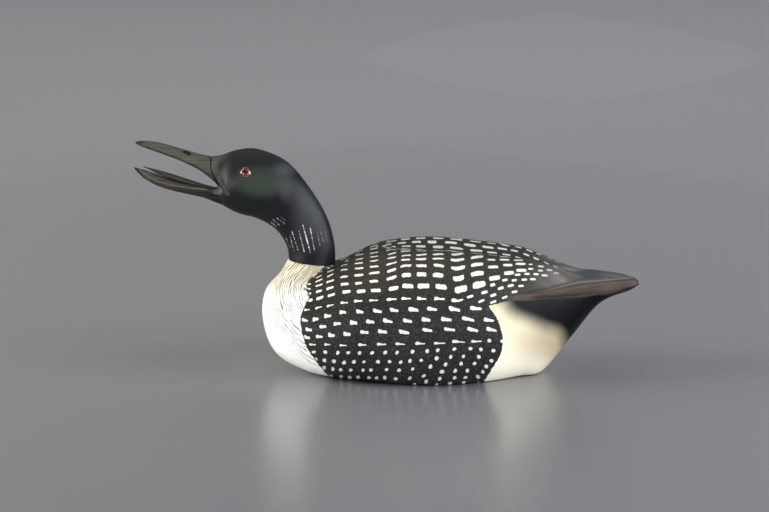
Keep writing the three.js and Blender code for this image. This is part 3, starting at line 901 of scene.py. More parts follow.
def make_head():
    """Head, neck and bill as one skin, which a fine grid of voxels joins from the two blocks."""
    points, faces = [], []
    for mesh in cut_blocks():
        first = len(points)
        points += [vertex.co[:] for vertex in mesh.vertices]
        faces += [[first + corner for corner in face.vertices] for face in mesh.polygons]
    joined = bpy.data.meshes.new("joined")
    joined.from_pydata(points, [], faces)
    whole = put_in_scene("whole_head", joined)
    remesh = whole.modifiers.new("remesh", "REMESH")
    remesh.mode = "VOXEL"
    remesh.voxel_size = HEAD_VOXEL
    mesh = finished_mesh(whole, "carved_head")
    discard(whole)
    head = put_in_scene("carved_head", mesh)

    points = mesh_array(mesh.vertices, "co", 3)
    edges = mesh_array(mesh.edges, "vertices", 2, int)
    photo = to_photo(near_side(points))
    seam = np.exp(-(((photo - CHIN_SEAM) / CHIN_SEAM_REACH) ** 2).sum(1))
    points = relax(points, edges, np.full(len(points), HEAD_SMOOTHING[0]), HEAD_SMOOTHING[1])
    points = relax(points, edges, SEAM_SMOOTHING[0] * np.clip(2 * seam, 0, 1), SEAM_SMOOTHING[1])
    points = carve_details(points, mesh_array(mesh.vertex_normals, "vector", 3))
    mesh.vertices.foreach_set("co", points.ravel())
    mesh.update()
    mesh.shade_smooth()
    add_fields(mesh, head_paint_fields(points))
    return head


def carve_details(points, normals):
    """Cuts the line at the bill's root, the nostrils and the eye sockets into the head."""
    photo = to_photo(near_side(points))
    line = from_line(photo, GROOVE_LINE) * PIXEL
    ends = 1 - GROOVE_LOST * smoothstep(photo[:, 1], *GROOVE_RUNS_OUT)
    points = points - normals * (GROOVE_DEPTH * ends * np.exp(-(line / GROOVE_WIDTH) ** 2))[:, None]
    half_length, half_height, nostril_depth = NOSTRIL_SLOT_SIZE
    lid_height, lid_away, lid_width = LID
    for side in (1, -1):
        centre, along, up, out = frame_on_head(NOSTRIL_PLACE, side)
        offset = points - centre
        slot = (offset @ along / half_length) ** 2 + (offset @ up / half_height) ** 2
        near = np.abs(offset @ out) < NOSTRIL_REACH
        points = points - out * (near * nostril_depth * np.exp(-slot ** 2))[:, None]
        centre, along, up, out = frame_on_head(EYE_PLACE, side)
        offset = points - centre
        away = np.hypot(offset @ along, offset @ up)
        depth = offset @ out
        near = np.abs(depth) < SOCKET_REACH
        sunk = np.minimum(depth, -(IRIS_DEPTH + SOCKET_FLOOR))
        inside = near * (1 - smoothstep(away, EYE_RADIUS - SOCKET_EDGE[0], EYE_RADIUS + SOCKET_EDGE[1]))
        lid = near * lid_height * np.exp(-((away - EYE_RADIUS - lid_away) / lid_width) ** 2)
        points = points + out * (inside * (sunk - depth) + lid)[:, None]
    return points


# Strings of white beads on the neck: where each starts and ends in pixels, and how bold it is
NECK_STRINGS = [
    (286.7, 239, 290, 246.4, 0.3), (290.5, 236.6, 294, 249.6, 0.45), (292.6, 232.3, 298, 249, 0.55),
    (299.7, 232.3, 304.3, 250.7, 0.65), (303.6, 226.4, 310.5, 252.1, 1.0),
    (310.8, 229, 314.6, 249.6, 0.75), (317.6, 232.3, 320, 244.2, 0.4),
    (321.4, 232.8, 323.8, 241.5, 0.32), (326, 232.3, 327, 239.3, 0.25),
    (277.8, 218.6, 284.6, 223.7, 0.5), (274.6, 220.6, 279.9, 225.2, 0.5),
    (271.9, 222.7, 276, 226.1, 0.45), (282, 217.8, 285.4, 220.3, 0.2),
]
BEAD_STEP = 1.75
STRING_REACH = (1.1, 1.7)

# Pixels of the bill's paint: where it ends on the face, the nostril, the painted highlight that
# streaks the cheek behind its root, and the painted highlight along the rim of the lower bill
BILL_END = [
    [240, 130], [231, 150], [222, 161], [217.5, 170], [218.5, 180], [221.5, 187], [226, 193],
    [221, 199], [214, 208], [204, 224],
]
BILL_AREA = ([BILL_END], [[100, 224], [100, 130]])
NOSTRIL_STROKE = ((185.4, 152.3), (190.2, 154.2))
CHEEK_HIGHLIGHT_STREAK = [[219.5, 178], [222, 184.5], [225.5, 190.5], [228.5, 194.5]]
LOWER_RIM = [[139.5, 168.5], [147, 175.5], [160, 182], [176, 186], [192, 188.4], [207, 189.6]]


def head_paint_fields(points):
    """Attributes that the head's paint is drawn from."""
    photo = to_photo(near_side(points))
    none = np.zeros(len(photo))
    mouth = [to_photo(np.array([x * SHARE[0], 0, z * SHARE[2]])) for x, z in MOUTH_LINE]
    nearest = np.full(len(photo), FAR_OFF)
    aside, place, bold = np.zeros((3, len(photo)))
    for x0, y0, x1, y1, strength in NECK_STRINGS:
        away, along = from_stroke(photo, (x0, y0), (x1, y1))
        length = math.hypot(x1 - x0, y1 - y0)
        closer = away < nearest
        nearest[closer] = away[closer]
        beside = (photo - (x0, y0)) @ ((y0 - y1) / length, (x1 - x0) / length)
        aside[closer] = beside[closer]
        place[closer] = along[closer] * length / BEAD_STEP + x0
        bold[closer] = strength
    bold *= 1 - smoothstep(nearest, *STRING_REACH)
    bill_edge = from_area(photo, *BILL_AREA)
    nostril = from_stroke(photo, *NOSTRIL_STROKE)[0]
    lines = [from_line(photo, line) for line in (mouth, CHEEK_HIGHLIGHT_STREAK, LOWER_RIM)]
    return {
        "photo_place": np.stack([photo[:, 0], photo[:, 1], none], 1),
        "edges": np.stack([bill_edge, from_line(photo, GROOVE_LINE), nostril], 1),
        "lines": np.stack(lines, 1),
        "strings": np.stack([aside, place, bold], 1),
    }


def make_tongue():
    rows = [[x, under, x, top, half, TONGUE_WIDEST]
            for x, _, _, _, under, top, half in BILL_STATIONS[TONGUE_ROOT:TONGUE_TIP + 1]]
    return lofted("carved_tongue", rows, TONGUE_GRID, TONGUE_FULLNESS)


def turned(name, seat, profile):
    """A round piece on the head's skin, turned from shares of the eye's radius and heights."""
    centre, along, up, out = seat
    turn = even_angles(EYE_SIDES)[:, None]
    circle = np.cos(turn) * along + np.sin(turn) * up
    corners, faces = tube(np.array([centre + out * height + EYE_RADIUS * share * circle
                                    for share, height in profile]))
    away = np.linalg.norm(np.cross(corners - centre, out), axis=1)
    field = np.stack([away / EYE_RADIUS, 0 * away, 0 * away], 1)
    return make_object(name, corners, faces, {"from_middle": field})


# Shares of the eye's radius at which the rings of its pieces lie, back to front
GLASS_BACK, GLASS_POLE = (0.05, 0.5, 1.0), 0.03
IRIS_BACK, IRIS_FRONT = (0.05, 0.98), (0.98, 0.9, 0.75, 0.62, 0.5, 0.4, 0.25, 0.05)


def make_eye(name, side):
    """The glass button of an eye and the painted disc behind it."""
    seat = frame_on_head(EYE_PLACE, side)
    slopes = np.arange(EYE_DOME_RINGS) / EYE_DOME_RINGS * math.pi / 2
    dome = [(math.cos(slope), EYE_PROUD + EYE_DOME * math.sin(slope)) for slope in slopes]
    back = [(share, -IRIS_DEPTH) for share in GLASS_BACK]
    glass = turned(f"glass_{name}", seat, [*back, *dome, (GLASS_POLE, EYE_PROUD + EYE_DOME)])
    disc = [(share, -EYE_DEPTH) for share in IRIS_BACK]
    disc += [(share, -IRIS_DEPTH - IRIS_GAP) for share in IRIS_FRONT]
    return glass, turned(f"painted_iris_{name}", seat, disc)


# Materials

SOFT = {"interpolation_type": "SMOOTHSTEP"}  # eases both ends of a MapRange
NOISE = (0.3, 0.7)  # nearly all of a noise texture's values lie between these

# Sizes of the paint's patterns. The stipple and the hairs are drawn a little coarser than the
# brush really leaves them, because finer ones don't show at this distance.
STIPPLE = 1.923 * MM
BRUSH_EDGE = 3.846 * MM
MOTTLE = 45.45 * MM
SPOT_BEND = 3.333 * MM
TAIL_STREAKS = 11.11 * MM
FEATHER_DRIFT = 16.667 * MM
HEAD_STIPPLE = 1.4286 * MM
HEAD_MOTTLE = 25 * MM
HEAD_BRUSH = 3.3333 * MM
BILL_HAIRS = 2.381 * MM
TONGUE_GRAIN = 5.5556 * MM
BILL_SLOPE = math.radians(-16)
# How the streaks are drawn out along the tail and the bill
TAIL_COMBING, BILL_COMBING = (0.16, 1.0, 0.6), (0.07, 0.5, 1.0)

# Pixels of the photograph between which the body's paint changes, down or across
BACK_BROWNS = (315.0, 262.0)
SPOTS_GREY = (296.0, 316.0)
TAIL_FADES_IN = (520.0, 575.0)
LEDGE_STARTS = (500.0, 516.0)
# where along the tail the painted highlight on the ledge's upper edge begins
EDGE_HIGHLIGHT_STARTS = (530.0, 560.0)
# the rump's paint turns a deeper cream upwards: partly its airbrushed tone, partly painted shade
RUMP_CREAM_AND_SHADE = (385.0, 305.0)
HAND_STEADIES = (496.0, 512.0)
EDGE_SOFTENS = (500.0, 530.0)
BREAST_YELLOWS = (266.0, 304.0)

# Pixels of the photograph between which the head's paint changes
# the crown's paint turns lighter upwards: painted light from above
CROWN_PAINTED_LIGHT = (180.0, 150.0)
# the bill's paint darkens downwards: painted shade on its lower parts
BILL_SHADED_BELOW = (165.0, 195.0)
TIP_DARKENS = (137.0, 150.0)

# Soft oval patches of paint: middle and half sizes in pixels, the shares of those between
# which it fades, and how fully it covers in its middle
BLUE_ON_TAIL = ((590.0, 275.5), (18, 5.5), (0.2, 1.2), 0.7)
TAN_ON_RUMP = ((556.0, 341.0), (52, 30), (0.1, 1.2), 1.0)
GREEN_ON_CHEEK = ((262.0, 182.0), (27, 17.5), (0.5, 1.2), 1.0)
# painted sheen behind the cheek and down the neck, and a painted highlight along the nape
PAINTED_SHEEN_BEHIND_CHEEK = ((286.5, 190.0), (9, 15), (0.1, 1.2), 0.6)
PAINTED_SHEEN_ON_NECK = ((309.0, 214.0), (20, 40), (0.2, 1.2), 0.8)
PAINTED_HIGHLIGHT_ON_NAPE = ((285.5, 169.5), (15, 9), (0.1, 1.2), 0.7)
PALE_MOUTH_CORNER = ((218.5, 192.0), (6, 3.4), (0.4, 1.2), 0.5)

# How paint fades over a border: from and to how many pixels off it, and how fully it covers
# at the one and at the other
OFF_TAIL = (-1.0, 1.5, 0.0, 1.0)
ON_LEDGE = (-0.7, 0.9, 1.0, 0.0)
# a painted highlight: the pale line along the upper edge of the tail's ledge
LEDGE_EDGE_HIGHLIGHT = (0.1, 1.1, 0.6, 0.0)
UNDER_TAIL = (13.5, -8.0, 0.0, 1.0)
ON_BREAST = (-0.3, 0.3, 1.0, 0.0)
ON_BILL = (-4.0, 3.5, 1.0, 0.0)
# painted shade along the upper bill's cutting edge, over the open mouth
SHADE_UNDER_MOUTH_EDGE = (0.2, 2.6, 0.75, 0.0)
# a painted highlight along the rim of the lower bill, where its inner edge catches the light
BILL_RIM_HIGHLIGHT = (0.2, 1.2, 0.5, 0.0)
# a painted highlight streaking the cheek behind the bill's root
HIGHLIGHT_BESIDE_BILL = (0.4, 3.0, 0.36, 0.0)
# painted shade in the carved line at the bill's root
SHADE_IN_GROOVE = (0.45, 1.3, 0.95, 0.0)
# painted shade in the nostrils' slots
SHADE_IN_NOSTRIL = (1.2, 1.9, 0.95, 0.0)

# How strong the noise under each pattern has to be for it to show, and what it then gives
FLECKS = (0.5, 0.7, 0.0, 0.6)
STREAKS = (0.4, 0.68, 0.0, 1.0)
EVEN_MIX = (0.35, 0.65, 0.0, 1.0)
FEATHER_WIDTH = (0.31, 0.55, 0.0, 0.27)
OUTER_FEATHERS = (4.4, 5.8, 1.0, 0.0)
FEATHERS_PER_ARC = 3.5
FEATHER_INK = 0.85
# Each feather line breaks by itself, every ten pixels or so down the breast
FEATHER_BREAKS = (7.31, 1.0, 0.1)


def linear(colour):
    """A hex sRGB colour as linear RGBA."""
    channels = [int(colour[place:place + 2], 16) / 255 for place in (0, 2, 4)]
    curve = [c / 12.92 if c <= 0.04045 else ((c + 0.055) / 1.055) ** 2.4 for c in channels]
    return (*curve, 1.0)


def add(tree, kind, inputs=(), **settings):
    """Adds a node with its settings, and with values or links on its inputs."""
    node = tree.nodes.new("ShaderNode" + kind)
    for name, value in settings.items():
        setattr(node, name, value)
    pairs = inputs.items() if isinstance(inputs, dict) else enumerate(inputs)
    for place, value in pairs:
        socket = node.inputs[place]
        if isinstance(value, bpy.types.NodeSocket):
            tree.links.new(value, socket)
        elif isinstance(value, bpy.types.Node):
            tree.links.new(value.outputs[0], socket)
        else:
            socket.default_value = value
    return node


def new_material(name):
    material = bpy.data.materials.new(name)
    material.use_nodes = True
    material.node_tree.nodes.clear()
    return material, material.node_tree


def finish_material(tree, settings):
    add(tree, "OutputMaterial", [add(tree, "BsdfPrincipled", settings)])


def read_field(tree, name):
    """An attribute of the mesh as one vector, and as its three values."""
    vector = add(tree, "Attribute", attribute_name=name).outputs["Vector"]
    return vector, add(tree, "SeparateXYZ", [vector]).outputs


def coats(tree, ground, *layers):
    """Coats of paint over a ground, each with how fully it covers and its colour, which is a
    hex value or comes from other coats."""
    for cover, colour in layers:
        below, above = (linear(each) if isinstance(each, str) else each for each in (ground, colour))
        ground = add(tree, "Mix", {0: cover, 6: below, 7: above}, data_type="RGBA").outputs[2]
    return ground


def patch(tree, photo_vector, middle, radii, reach, most):
    """How much of a soft oval patch of paint shows at each place, at most so much."""
    offset = add(tree, "VectorMath", [photo_vector, (*middle, 0.0)], operation="SUBTRACT")
    share = add(tree, "VectorMath", [offset, (1 / radii[0], 1 / radii[1], 0.0)], operation="MULTIPLY")
    distance = add(tree, "VectorMath", [share], operation="LENGTH").outputs["Value"]
    return add(tree, "MapRange", [distance, *reach, most, 0.0], **SOFT)


def spot_paint(tree, spot, wobble):
    """White spots on the body's grid of rows and columns, from 0 off them to 1 on them."""
    noise = add(tree, "TexNoise", {"Vector": spot, "Scale": 1 / SPOT_BEND})
    bend = add(tree, "SeparateXYZ", [noise.outputs["Color"]]).outputs
    place, shift, size, grid = (
        read_field(tree, name)[1] for name in ("spot_place", "spot_shift", "spot_size", "spot_grid")
    )
    offsets = []
    for axis in (0, 1):
        moved = add(tree, "Math", [place[axis], shift[axis]], operation="SUBTRACT")
        whole = add(tree, "Math", [moved], operation="ROUND")
        part = add(tree, "Math", [moved, whole], operation="SUBTRACT")
        pixels = add(tree, "Math", [part, grid[axis]], operation="MULTIPLY")
        hand = add(tree, "MapRange", [bend[axis], *NOISE, -0.25, 0.25])
        offsets.append(add(tree, "Math", [pixels, hand], operation="ADD"))
    lean = add(tree, "Math", [offsets[0], shift[2]], operation="MULTIPLY")
    down = add(tree, "Math", [offsets[1], lean], operation="SUBTRACT")
    along = add(tree, "Math", [offsets[0], size[0]], operation="DIVIDE")
    waist = add(tree, "MapRange", [along, -0.55, 0.15, 0.0, 0.52], **SOFT)
    thinner = add(tree, "Math", [waist, size[2]], operation="MULTIPLY")
    girth = add(tree, "Math", [1.0, thinner], operation="SUBTRACT")
    reach = add(tree, "Math", [girth, size[1]], operation="MULTIPLY")
    across = add(tree, "Math", [down, reach], operation="DIVIDE")
    powers = []
    for share in (along, across):
        whole = add(tree, "Math", [share], operation="ABSOLUTE")
        powers.append(add(tree, "Math", [whole, grid[2]], operation="POWER"))
    total = add(tree, "Math", powers, operation="ADD")
    rough = add(tree, "Math", [total, wobble], operation="ADD")
    drawn = add(tree, "MapRange", [rough, 1.25, 0.75, 0.0, 1.0], **SOFT)
    return add(tree, "Math", [drawn, place[2]], operation="MULTIPLY")


def tip_paint(tree, photo_vector, on_tip, wobble):
    """The small white spots on the wing's tip, from 0 off them to 1 on them."""
    nearest = FAR_OFF
    for x, y, length, height in TIP_SPOTS:
        lean = np.interp(y, *TIP_LEAN) * np.interp(x, *TIP_LEAN_FADE) + np.interp(x, *TIP_END_TURN)
        share = add(tree, "Mapping", {
            "Vector": photo_vector, "Location": (x, y, 0.5), "Rotation": (0, 0, math.radians(lean)),
            "Scale": (length, TIP_THINNER * height, 100),
        }, vector_type="TEXTURE")
        squares = add(tree, "VectorMath", [share, share], operation="MULTIPLY")
        away = add(tree, "VectorMath", [squares, squares], operation="DOT_PRODUCT")
        nearest = add(tree, "Math", [away.outputs["Value"], nearest], operation="MINIMUM")
    rough = add(tree, "Math", [nearest, wobble], operation="ADD")
    drawn = add(tree, "MapRange", [rough, 1.8, 0.5, 0.0, 1.0], **SOFT)
    return add(tree, "Math", [drawn, on_tip], operation="MULTIPLY")


def feather_paint(tree, spot, down, arc):
    """Fine broken feather lines along the arcs of the breast, from 0 off them."""
    lines = add(tree, "Math", [arc, FEATHERS_PER_ARC], operation="MULTIPLY")
    drift = add(tree, "TexNoise", {"Vector": spot, "Scale": 1 / FEATHER_DRIFT, "Detail": 1.0})
    bend = add(tree, "MapRange", [drift.outputs["Fac"], *NOISE, -0.5, 0.5])
    waved = add(tree, "Math", [lines, bend], operation="ADD")
    line_number = add(tree, "Math", [waved], operation="ROUND")
    off_line = add(tree, "Math", [waved, line_number], operation="SUBTRACT")
    off = add(tree, "Math", [off_line], operation="ABSOLUTE")
    dashes = add(tree, "CombineXYZ", [line_number, 0.0, down])
    stretched = add(tree, "VectorMath", [dashes, FEATHER_BREAKS], operation="MULTIPLY")
    broken = add(tree, "TexNoise", {"Vector": stretched, "Scale": 1.0, "Detail": 1.0})
    width = add(tree, "MapRange", [broken.outputs["Fac"], *FEATHER_WIDTH])
    line = add(tree, "Math", [width, off], operation="SUBTRACT")
    drawn = add(tree, "MapRange", [line, 0.0, 0.14, 0.0, FEATHER_INK])
    outer = add(tree, "MapRange", [arc, *OUTER_FEATHERS], **SOFT)
    return add(tree, "Math", [drawn, outer], operation="MULTIPLY")


def painted_body():
    """Oil paint brushed on carved and primed cedar, satin, with stipple in the black: it shows
    as a black back that goes brown upwards, crisp white spots, drawn feather lines on a white
    breast, and a cream rump with a soft black shade under a streaked grey tail."""
    material, tree = new_material("oil_paint_on_cedar_body")
    spot = add(tree, "TexCoord").outputs["Object"]
    breast_edge, rump_edge, shade_edge = read_field(tree, "edges")[1]
    ledge_edge, bare_edge, arc = read_field(tree, "more_edges")[1]
    photo_vector, (across, down, on_tip) = read_field(tree, "photo_place")
    stipple = add(tree, "TexNoise", {
        "Vector": spot, "Scale": 1 / STIPPLE, "Detail": 3.0, "Roughness": 0.6,
    }).outputs["Fac"]
    brush = add(tree, "TexNoise", {"Vector": spot, "Scale": 1 / BRUSH_EDGE, "Detail": 2.0}).outputs["Fac"]
    mottle = add(tree, "TexNoise", {"Vector": spot, "Scale": 1 / MOTTLE, "Detail": 3.0}).outputs["Fac"]
    wobble = add(tree, "MapRange", [brush, *NOISE, -0.3, 0.3])
    hand = add(tree, "MapRange", [brush, *NOISE, -0.5, 0.5])

    brown = add(tree, "MapRange", [down, *BACK_BROWNS, 0.0, 1.0], **SOFT)
    fleck = add(tree, "MapRange", [stipple, *FLECKS])
    spots = add(tree, "Math", [
        spot_paint(tree, spot, wobble), tip_paint(tree, photo_vector, on_tip, wobble),
    ], operation="MAXIMUM")
    off_tail = add(tree, "MapRange", [bare_edge, *OFF_TAIL], **SOFT)
    spotted = add(tree, "Math", [spots, off_tail], operation="MULTIPLY")
    grey = add(tree, "MapRange", [down, *SPOTS_GREY, 0.0, 1.0])
    white_spots = coats(tree, "f0efe2", (grey, "d4d4cf"))
    combed = add(tree, "VectorMath", [spot, TAIL_COMBING], operation="MULTIPLY")
    streaks = add(tree, "TexNoise", {"Vector": combed, "Scale": 1 / TAIL_STREAKS, "Detail": 4.0})
    streak = add(tree, "MapRange", [streaks.outputs["Fac"], *STREAKS])
    blue = patch(tree, photo_vector, *BLUE_ON_TAIL)
    tail_top = coats(tree, "5d5b58", (streak, "86807c"), (blue, "3c464c"))
    on_tail = add(tree, "MapRange", [across, *TAIL_FADES_IN, 0.0, 1.0], **SOFT)
    on_ledge = add(tree, "MapRange", [ledge_edge, *ON_LEDGE], **SOFT)
    behind = add(tree, "MapRange", [across, *LEDGE_STARTS, 0.0, 1.0], **SOFT)
    ledge = add(tree, "Math", [on_ledge, behind], operation="MULTIPLY")
    # Painted highlight along the upper edge of the ledge, from the middle of the tail back
    off_rim = add(tree, "Math", [ledge_edge], operation="ABSOLUTE")
    rim = add(tree, "MapRange", [off_rim, *LEDGE_EDGE_HIGHLIGHT], **SOFT)
    highlight_behind = add(tree, "MapRange", [across, *EDGE_HIGHLIGHT_STARTS, 0.0, 1.0])
    ledge_highlight = add(tree, "Math", [rim, highlight_behind], operation="MULTIPLY")
    back = coats(
        tree, "18191b", (mottle, "232323"), (brown, "38352f"), (fleck, "5e5b53"), (spotted, white_spots),
        (on_tail, tail_top), (ledge, coats(tree, "443c37", (streak, "564b44"))), (ledge_highlight, "8d837c"),
    )

    # Deeper cream upwards: partly the airbrushed tone, partly painted shade above the brighter lower rump
    cream = add(tree, "MapRange", [down, *RUMP_CREAM_AND_SHADE, 0.0, 1.0])
    tan = patch(tree, photo_vector, *TAN_ON_RUMP)
    shade_wobble = add(tree, "MapRange", [mottle, *NOISE, -1.5, 1.5])
    shade_border = add(tree, "Math", [shade_edge, shade_wobble], operation="ADD")
    shade = add(tree, "MapRange", [shade_border, *UNDER_TAIL], **SOFT)
    rump = coats(tree, "fff9e6", (cream, "dfd4b2"), (tan, "b9aa8a"), (shade, "060607"))
    steady = add(tree, "MapRange", [across, *HAND_STEADIES, 1.0, 0.1])
    steady_hand = add(tree, "Math", [hand, steady], operation="MULTIPLY")
    rump_border = add(tree, "Math", [rump_edge, steady_hand], operation="ADD")
    soft_end = add(tree, "MapRange", [across, *EDGE_SOFTENS, 0.3, 1.7])
    soft_start = add(tree, "Math", [soft_end, -1.0], operation="MULTIPLY")
    on_rump = add(tree, "MapRange", [rump_border, soft_start, soft_end, 1.0, 0.0], **SOFT)

    yellow = add(tree, "MapRange", [down, *BREAST_YELLOWS, 1.0, 0.0], **SOFT)
    aged = add(tree, "MapRange", [mottle, *EVEN_MIX])
    white = coats(tree, "f6f6f3", (yellow, coats(tree, "ece3c8", (aged, "dbd0b2"))))
    ink = coats(tree, "4b4843", (yellow, "423627"))
    breast = coats(tree, white, (feather_paint(tree, spot, down, arc), ink))
    breast_border = add(tree, "Math", [breast_edge, hand], operation="ADD")
    on_breast = add(tree, "MapRange", [breast_border, *ON_BREAST])

    colour = coats(tree, back, (on_rump, rump), (on_breast, breast))
    bump = add(tree, "Bump", {"Height": stipple, "Strength": 0.25, "Distance": 0.4 * MM})
    gloss = add(tree, "MapRange", [mottle, *NOISE, 0.4, 0.52])
    finish_material(tree, {
        "Base Color": colour, "Roughness": gloss, "Specular IOR Level": 0.2, "Normal": bump,
    })
    return material


def bead_paint(tree, strings):
    """Fine white beads along the neck's strings, from 0 off them to 1 on the boldest."""
    aside, place, bold = strings
    bead = add(tree, "Math", [place], operation="ROUND")
    off_bead = add(tree, "Math", [place, bead], operation="SUBTRACT")
    along = add(tree, "Math", [off_bead, BEAD_STEP], operation="MULTIPLY")
    chance = add(tree, "TexWhiteNoise", {"W": bead}, noise_dimensions="1D")
    offset = add(tree, "CombineXYZ", [along, aside, 0.0])
    from_bead = add(tree, "VectorMath", [offset], operation="LENGTH").outputs["Value"]
    width = add(tree, "MapRange", [chance.outputs["Value"], 0.0, 1.0, 0.25, 0.72])
    size = add(tree, "MapRange", [bold, 0.2, 1.0, 0.75, 1.05])
    radius = add(tree, "Math", [width, size], operation="MULTIPLY")
    inside = add(tree, "Math", [radius, from_bead], operation="SUBTRACT")
    drawn = add(tree, "MapRange", [inside, -0.2, 0.2, 0.0, 1.0])
    return add(tree, "Math", [drawn, bold], operation="MULTIPLY")


def painted_head():
    """The same oil paint, smoother and a little glossier: near black, with painted light on the crown
    and painted sheen on the neck, a dark green cheek, a bill streaked grey and brown, and white beads."""
    material, tree = new_material("oil_paint_on_cedar_head")
    spot = add(tree, "TexCoord").outputs["Object"]
    photo_vector, (across, down, _) = read_field(tree, "photo_place")
    bill_edge, groove, nostril = read_field(tree, "edges")[1]
    mouth_line, cheek_highlight_line, rim_line = read_field(tree, "lines")[1]
    stipple = add(tree, "TexNoise", {"Vector": spot, "Scale": 1 / HEAD_STIPPLE, "Detail": 2.0})
    mottle = add(tree, "TexNoise", {"Vector": spot, "Scale": 1 / HEAD_MOTTLE, "Detail": 3.0}).outputs["Fac"]
    brush = add(tree, "TexNoise", {"Vector": spot, "Scale": 1 / HEAD_BRUSH, "Detail": 2.0})

    # Painted light on the top of the head
    crown = add(tree, "MapRange", [down, *CROWN_PAINTED_LIGHT, 0.0, 1.0], **SOFT)
    # Painted shade on the lower parts of the bill
    low = add(tree, "MapRange", [down, *BILL_SHADED_BELOW, 0.0, 1.0])
    combed = add(tree, "Mapping", {
        "Vector": spot, "Rotation": (0.0, BILL_SLOPE, 0.0), "Scale": BILL_COMBING,
    })
    hairs = add(tree, "TexNoise", {"Vector": combed, "Scale": 1 / BILL_HAIRS, "Detail": 3.0})
    hair = add(tree, "MapRange", [hairs.outputs["Fac"], *EVEN_MIX])
    # Painted shade along the cutting edge of the upper bill; the dark tip is the bill's own colour
    shade_at_mouth_edge = add(tree, "MapRange", [mouth_line, *SHADE_UNDER_MOUTH_EDGE], **SOFT)
    at_tip = add(tree, "MapRange", [across, *TIP_DARKENS, 0.9, 0.0], **SOFT)
    dark = add(tree, "Math", [shade_at_mouth_edge, at_tip], operation="MAXIMUM")
    # Painted highlight along the rim of the lower bill
    rim_highlight = add(tree, "MapRange", [rim_line, *BILL_RIM_HIGHLIGHT], **SOFT)
    bill = coats(
        tree, coats(tree, "444139", (low, "131110")), (hair, coats(tree, "58544b", (low, "292522"))),
        (dark, "1e1d1d"), (rim_highlight, "6f6a62"),
    )

    softly = add(tree, "MapRange", [mottle, *NOISE, -2.0, 2.0])
    bill_border = add(tree, "Math", [bill_edge, softly], operation="ADD")
    on_bill = add(tree, "MapRange", [bill_border, *ON_BILL], **SOFT)
    # Painted highlight streaking the cheek behind the bill's root
    highlight_beside_bill = add(tree, "MapRange", [cheek_highlight_line, *HIGHLIGHT_BESIDE_BILL], **SOFT)
    # Painted shade in the carved line at the bill's root
    shade_in_groove = add(tree, "MapRange", [groove, *SHADE_IN_GROOVE])
    # Painted shade in the nostrils' slots
    shade_in_nostril = add(tree, "MapRange", [nostril, *SHADE_IN_NOSTRIL])
    colour = coats(
        tree, "0f1113", (mottle, "17191b"), (crown, "222425"),
        (patch(tree, photo_vector, *GREEN_ON_CHEEK), "2d362d"),
        # Painted sheen behind the cheek and down the neck, and a painted highlight on the nape
        (patch(tree, photo_vector, *PAINTED_SHEEN_BEHIND_CHEEK), "3a3d41"),
        (patch(tree, photo_vector, *PAINTED_SHEEN_ON_NECK), "34363a"),
        (patch(tree, photo_vector, *PAINTED_HIGHLIGHT_ON_NAPE), "4a4d50"),
        (on_bill, bill), (highlight_beside_bill, "565a60"), (shade_in_groove, "090909"),
        (patch(tree, photo_vector, *PALE_MOUTH_CORNER), "6b675f"),
        (shade_in_nostril, "140a08"), (bead_paint(tree, read_field(tree, "strings")[1]), "e4e7e7"),
    )
    bump = add(tree, "Bump", {"Height": stipple.outputs["Fac"], "Strength": 0.15, "Distance": 0.3 * MM})
    gloss = add(tree, "MapRange", [brush.outputs["Fac"], *NOISE, 0.35, 0.42])
    finish_material(tree, {
        "Base Color": colour, "Roughness": gloss, "Specular IOR Level": 0.28, "Normal": bump,
    })
    return material


def painted_tongue():
    """Thin brown oil paint brushed on a slip of cedar, satin, with the grain just showing."""
    material, tree = new_material("oil_paint_on_tongue")
    spot = add(tree, "TexCoord").outputs["Object"]
    grain = add(tree, "TexNoise", {"Vector": spot, "Scale": 1 / TONGUE_GRAIN, "Detail": 3.0}).outputs["Fac"]
    bump = add(tree, "Bump", {"Height": grain, "Strength": 0.2, "Distance": 0.3 * MM})
    colour = coats(tree, "242120", (grain, "413c39"))
    finish_material(tree, {"Base Color": colour, "Roughness": 0.4, "Normal": bump})
    return material


def eye_glass():
    """Clear soda glass, pressed and fire polished, a little dulled by age: it shows the red
    iris behind it and small soft highlights of the lights."""
    material, tree = new_material("clear_pressed_glass")
    finish_material(tree, {
        "Base Color": (1.0, 1.0, 1.0, 1.0), "Roughness": 0.14, "IOR": 1.52, "Transmission Weight": 1.0,
    })
    return material


def iris_enamel():
    """Red enamel round a black pupil, painted on the back of the glass, matt as seen through it."""
    material, tree = new_material("iris_enamel")
    away = read_field(tree, "from_middle")[1][0]
    rim = add(tree, "MapRange", [away, 0.8, 0.95, 0.0, 1.0])
    pupil = add(tree, "MapRange", [away, 0.46, 0.54, 1.0, 0.0])
    colour = coats(tree, "a5202a", (rim, "8a3a38"), (pupil, "060405"))
    finish_material(tree, {"Base Color": colour, "Roughness": 0.6, "Specular IOR Level": 0.15})
    return material


def floor_card():
    """Pale satin card, which mirrors the decoy softly."""
    material, tree = new_material("satin_grey_card")
    finish_material(tree, {"Base Color": linear("98999b"), "Roughness": 0.27})
    return material


# Camera, floor and lights

FLOOR_REACH = 14.0
FLOOR_BELOW = 0.2 * MM
MIDDLE = (0.0, 0.0, 0.1)
ROOM_LIGHT = 0.16

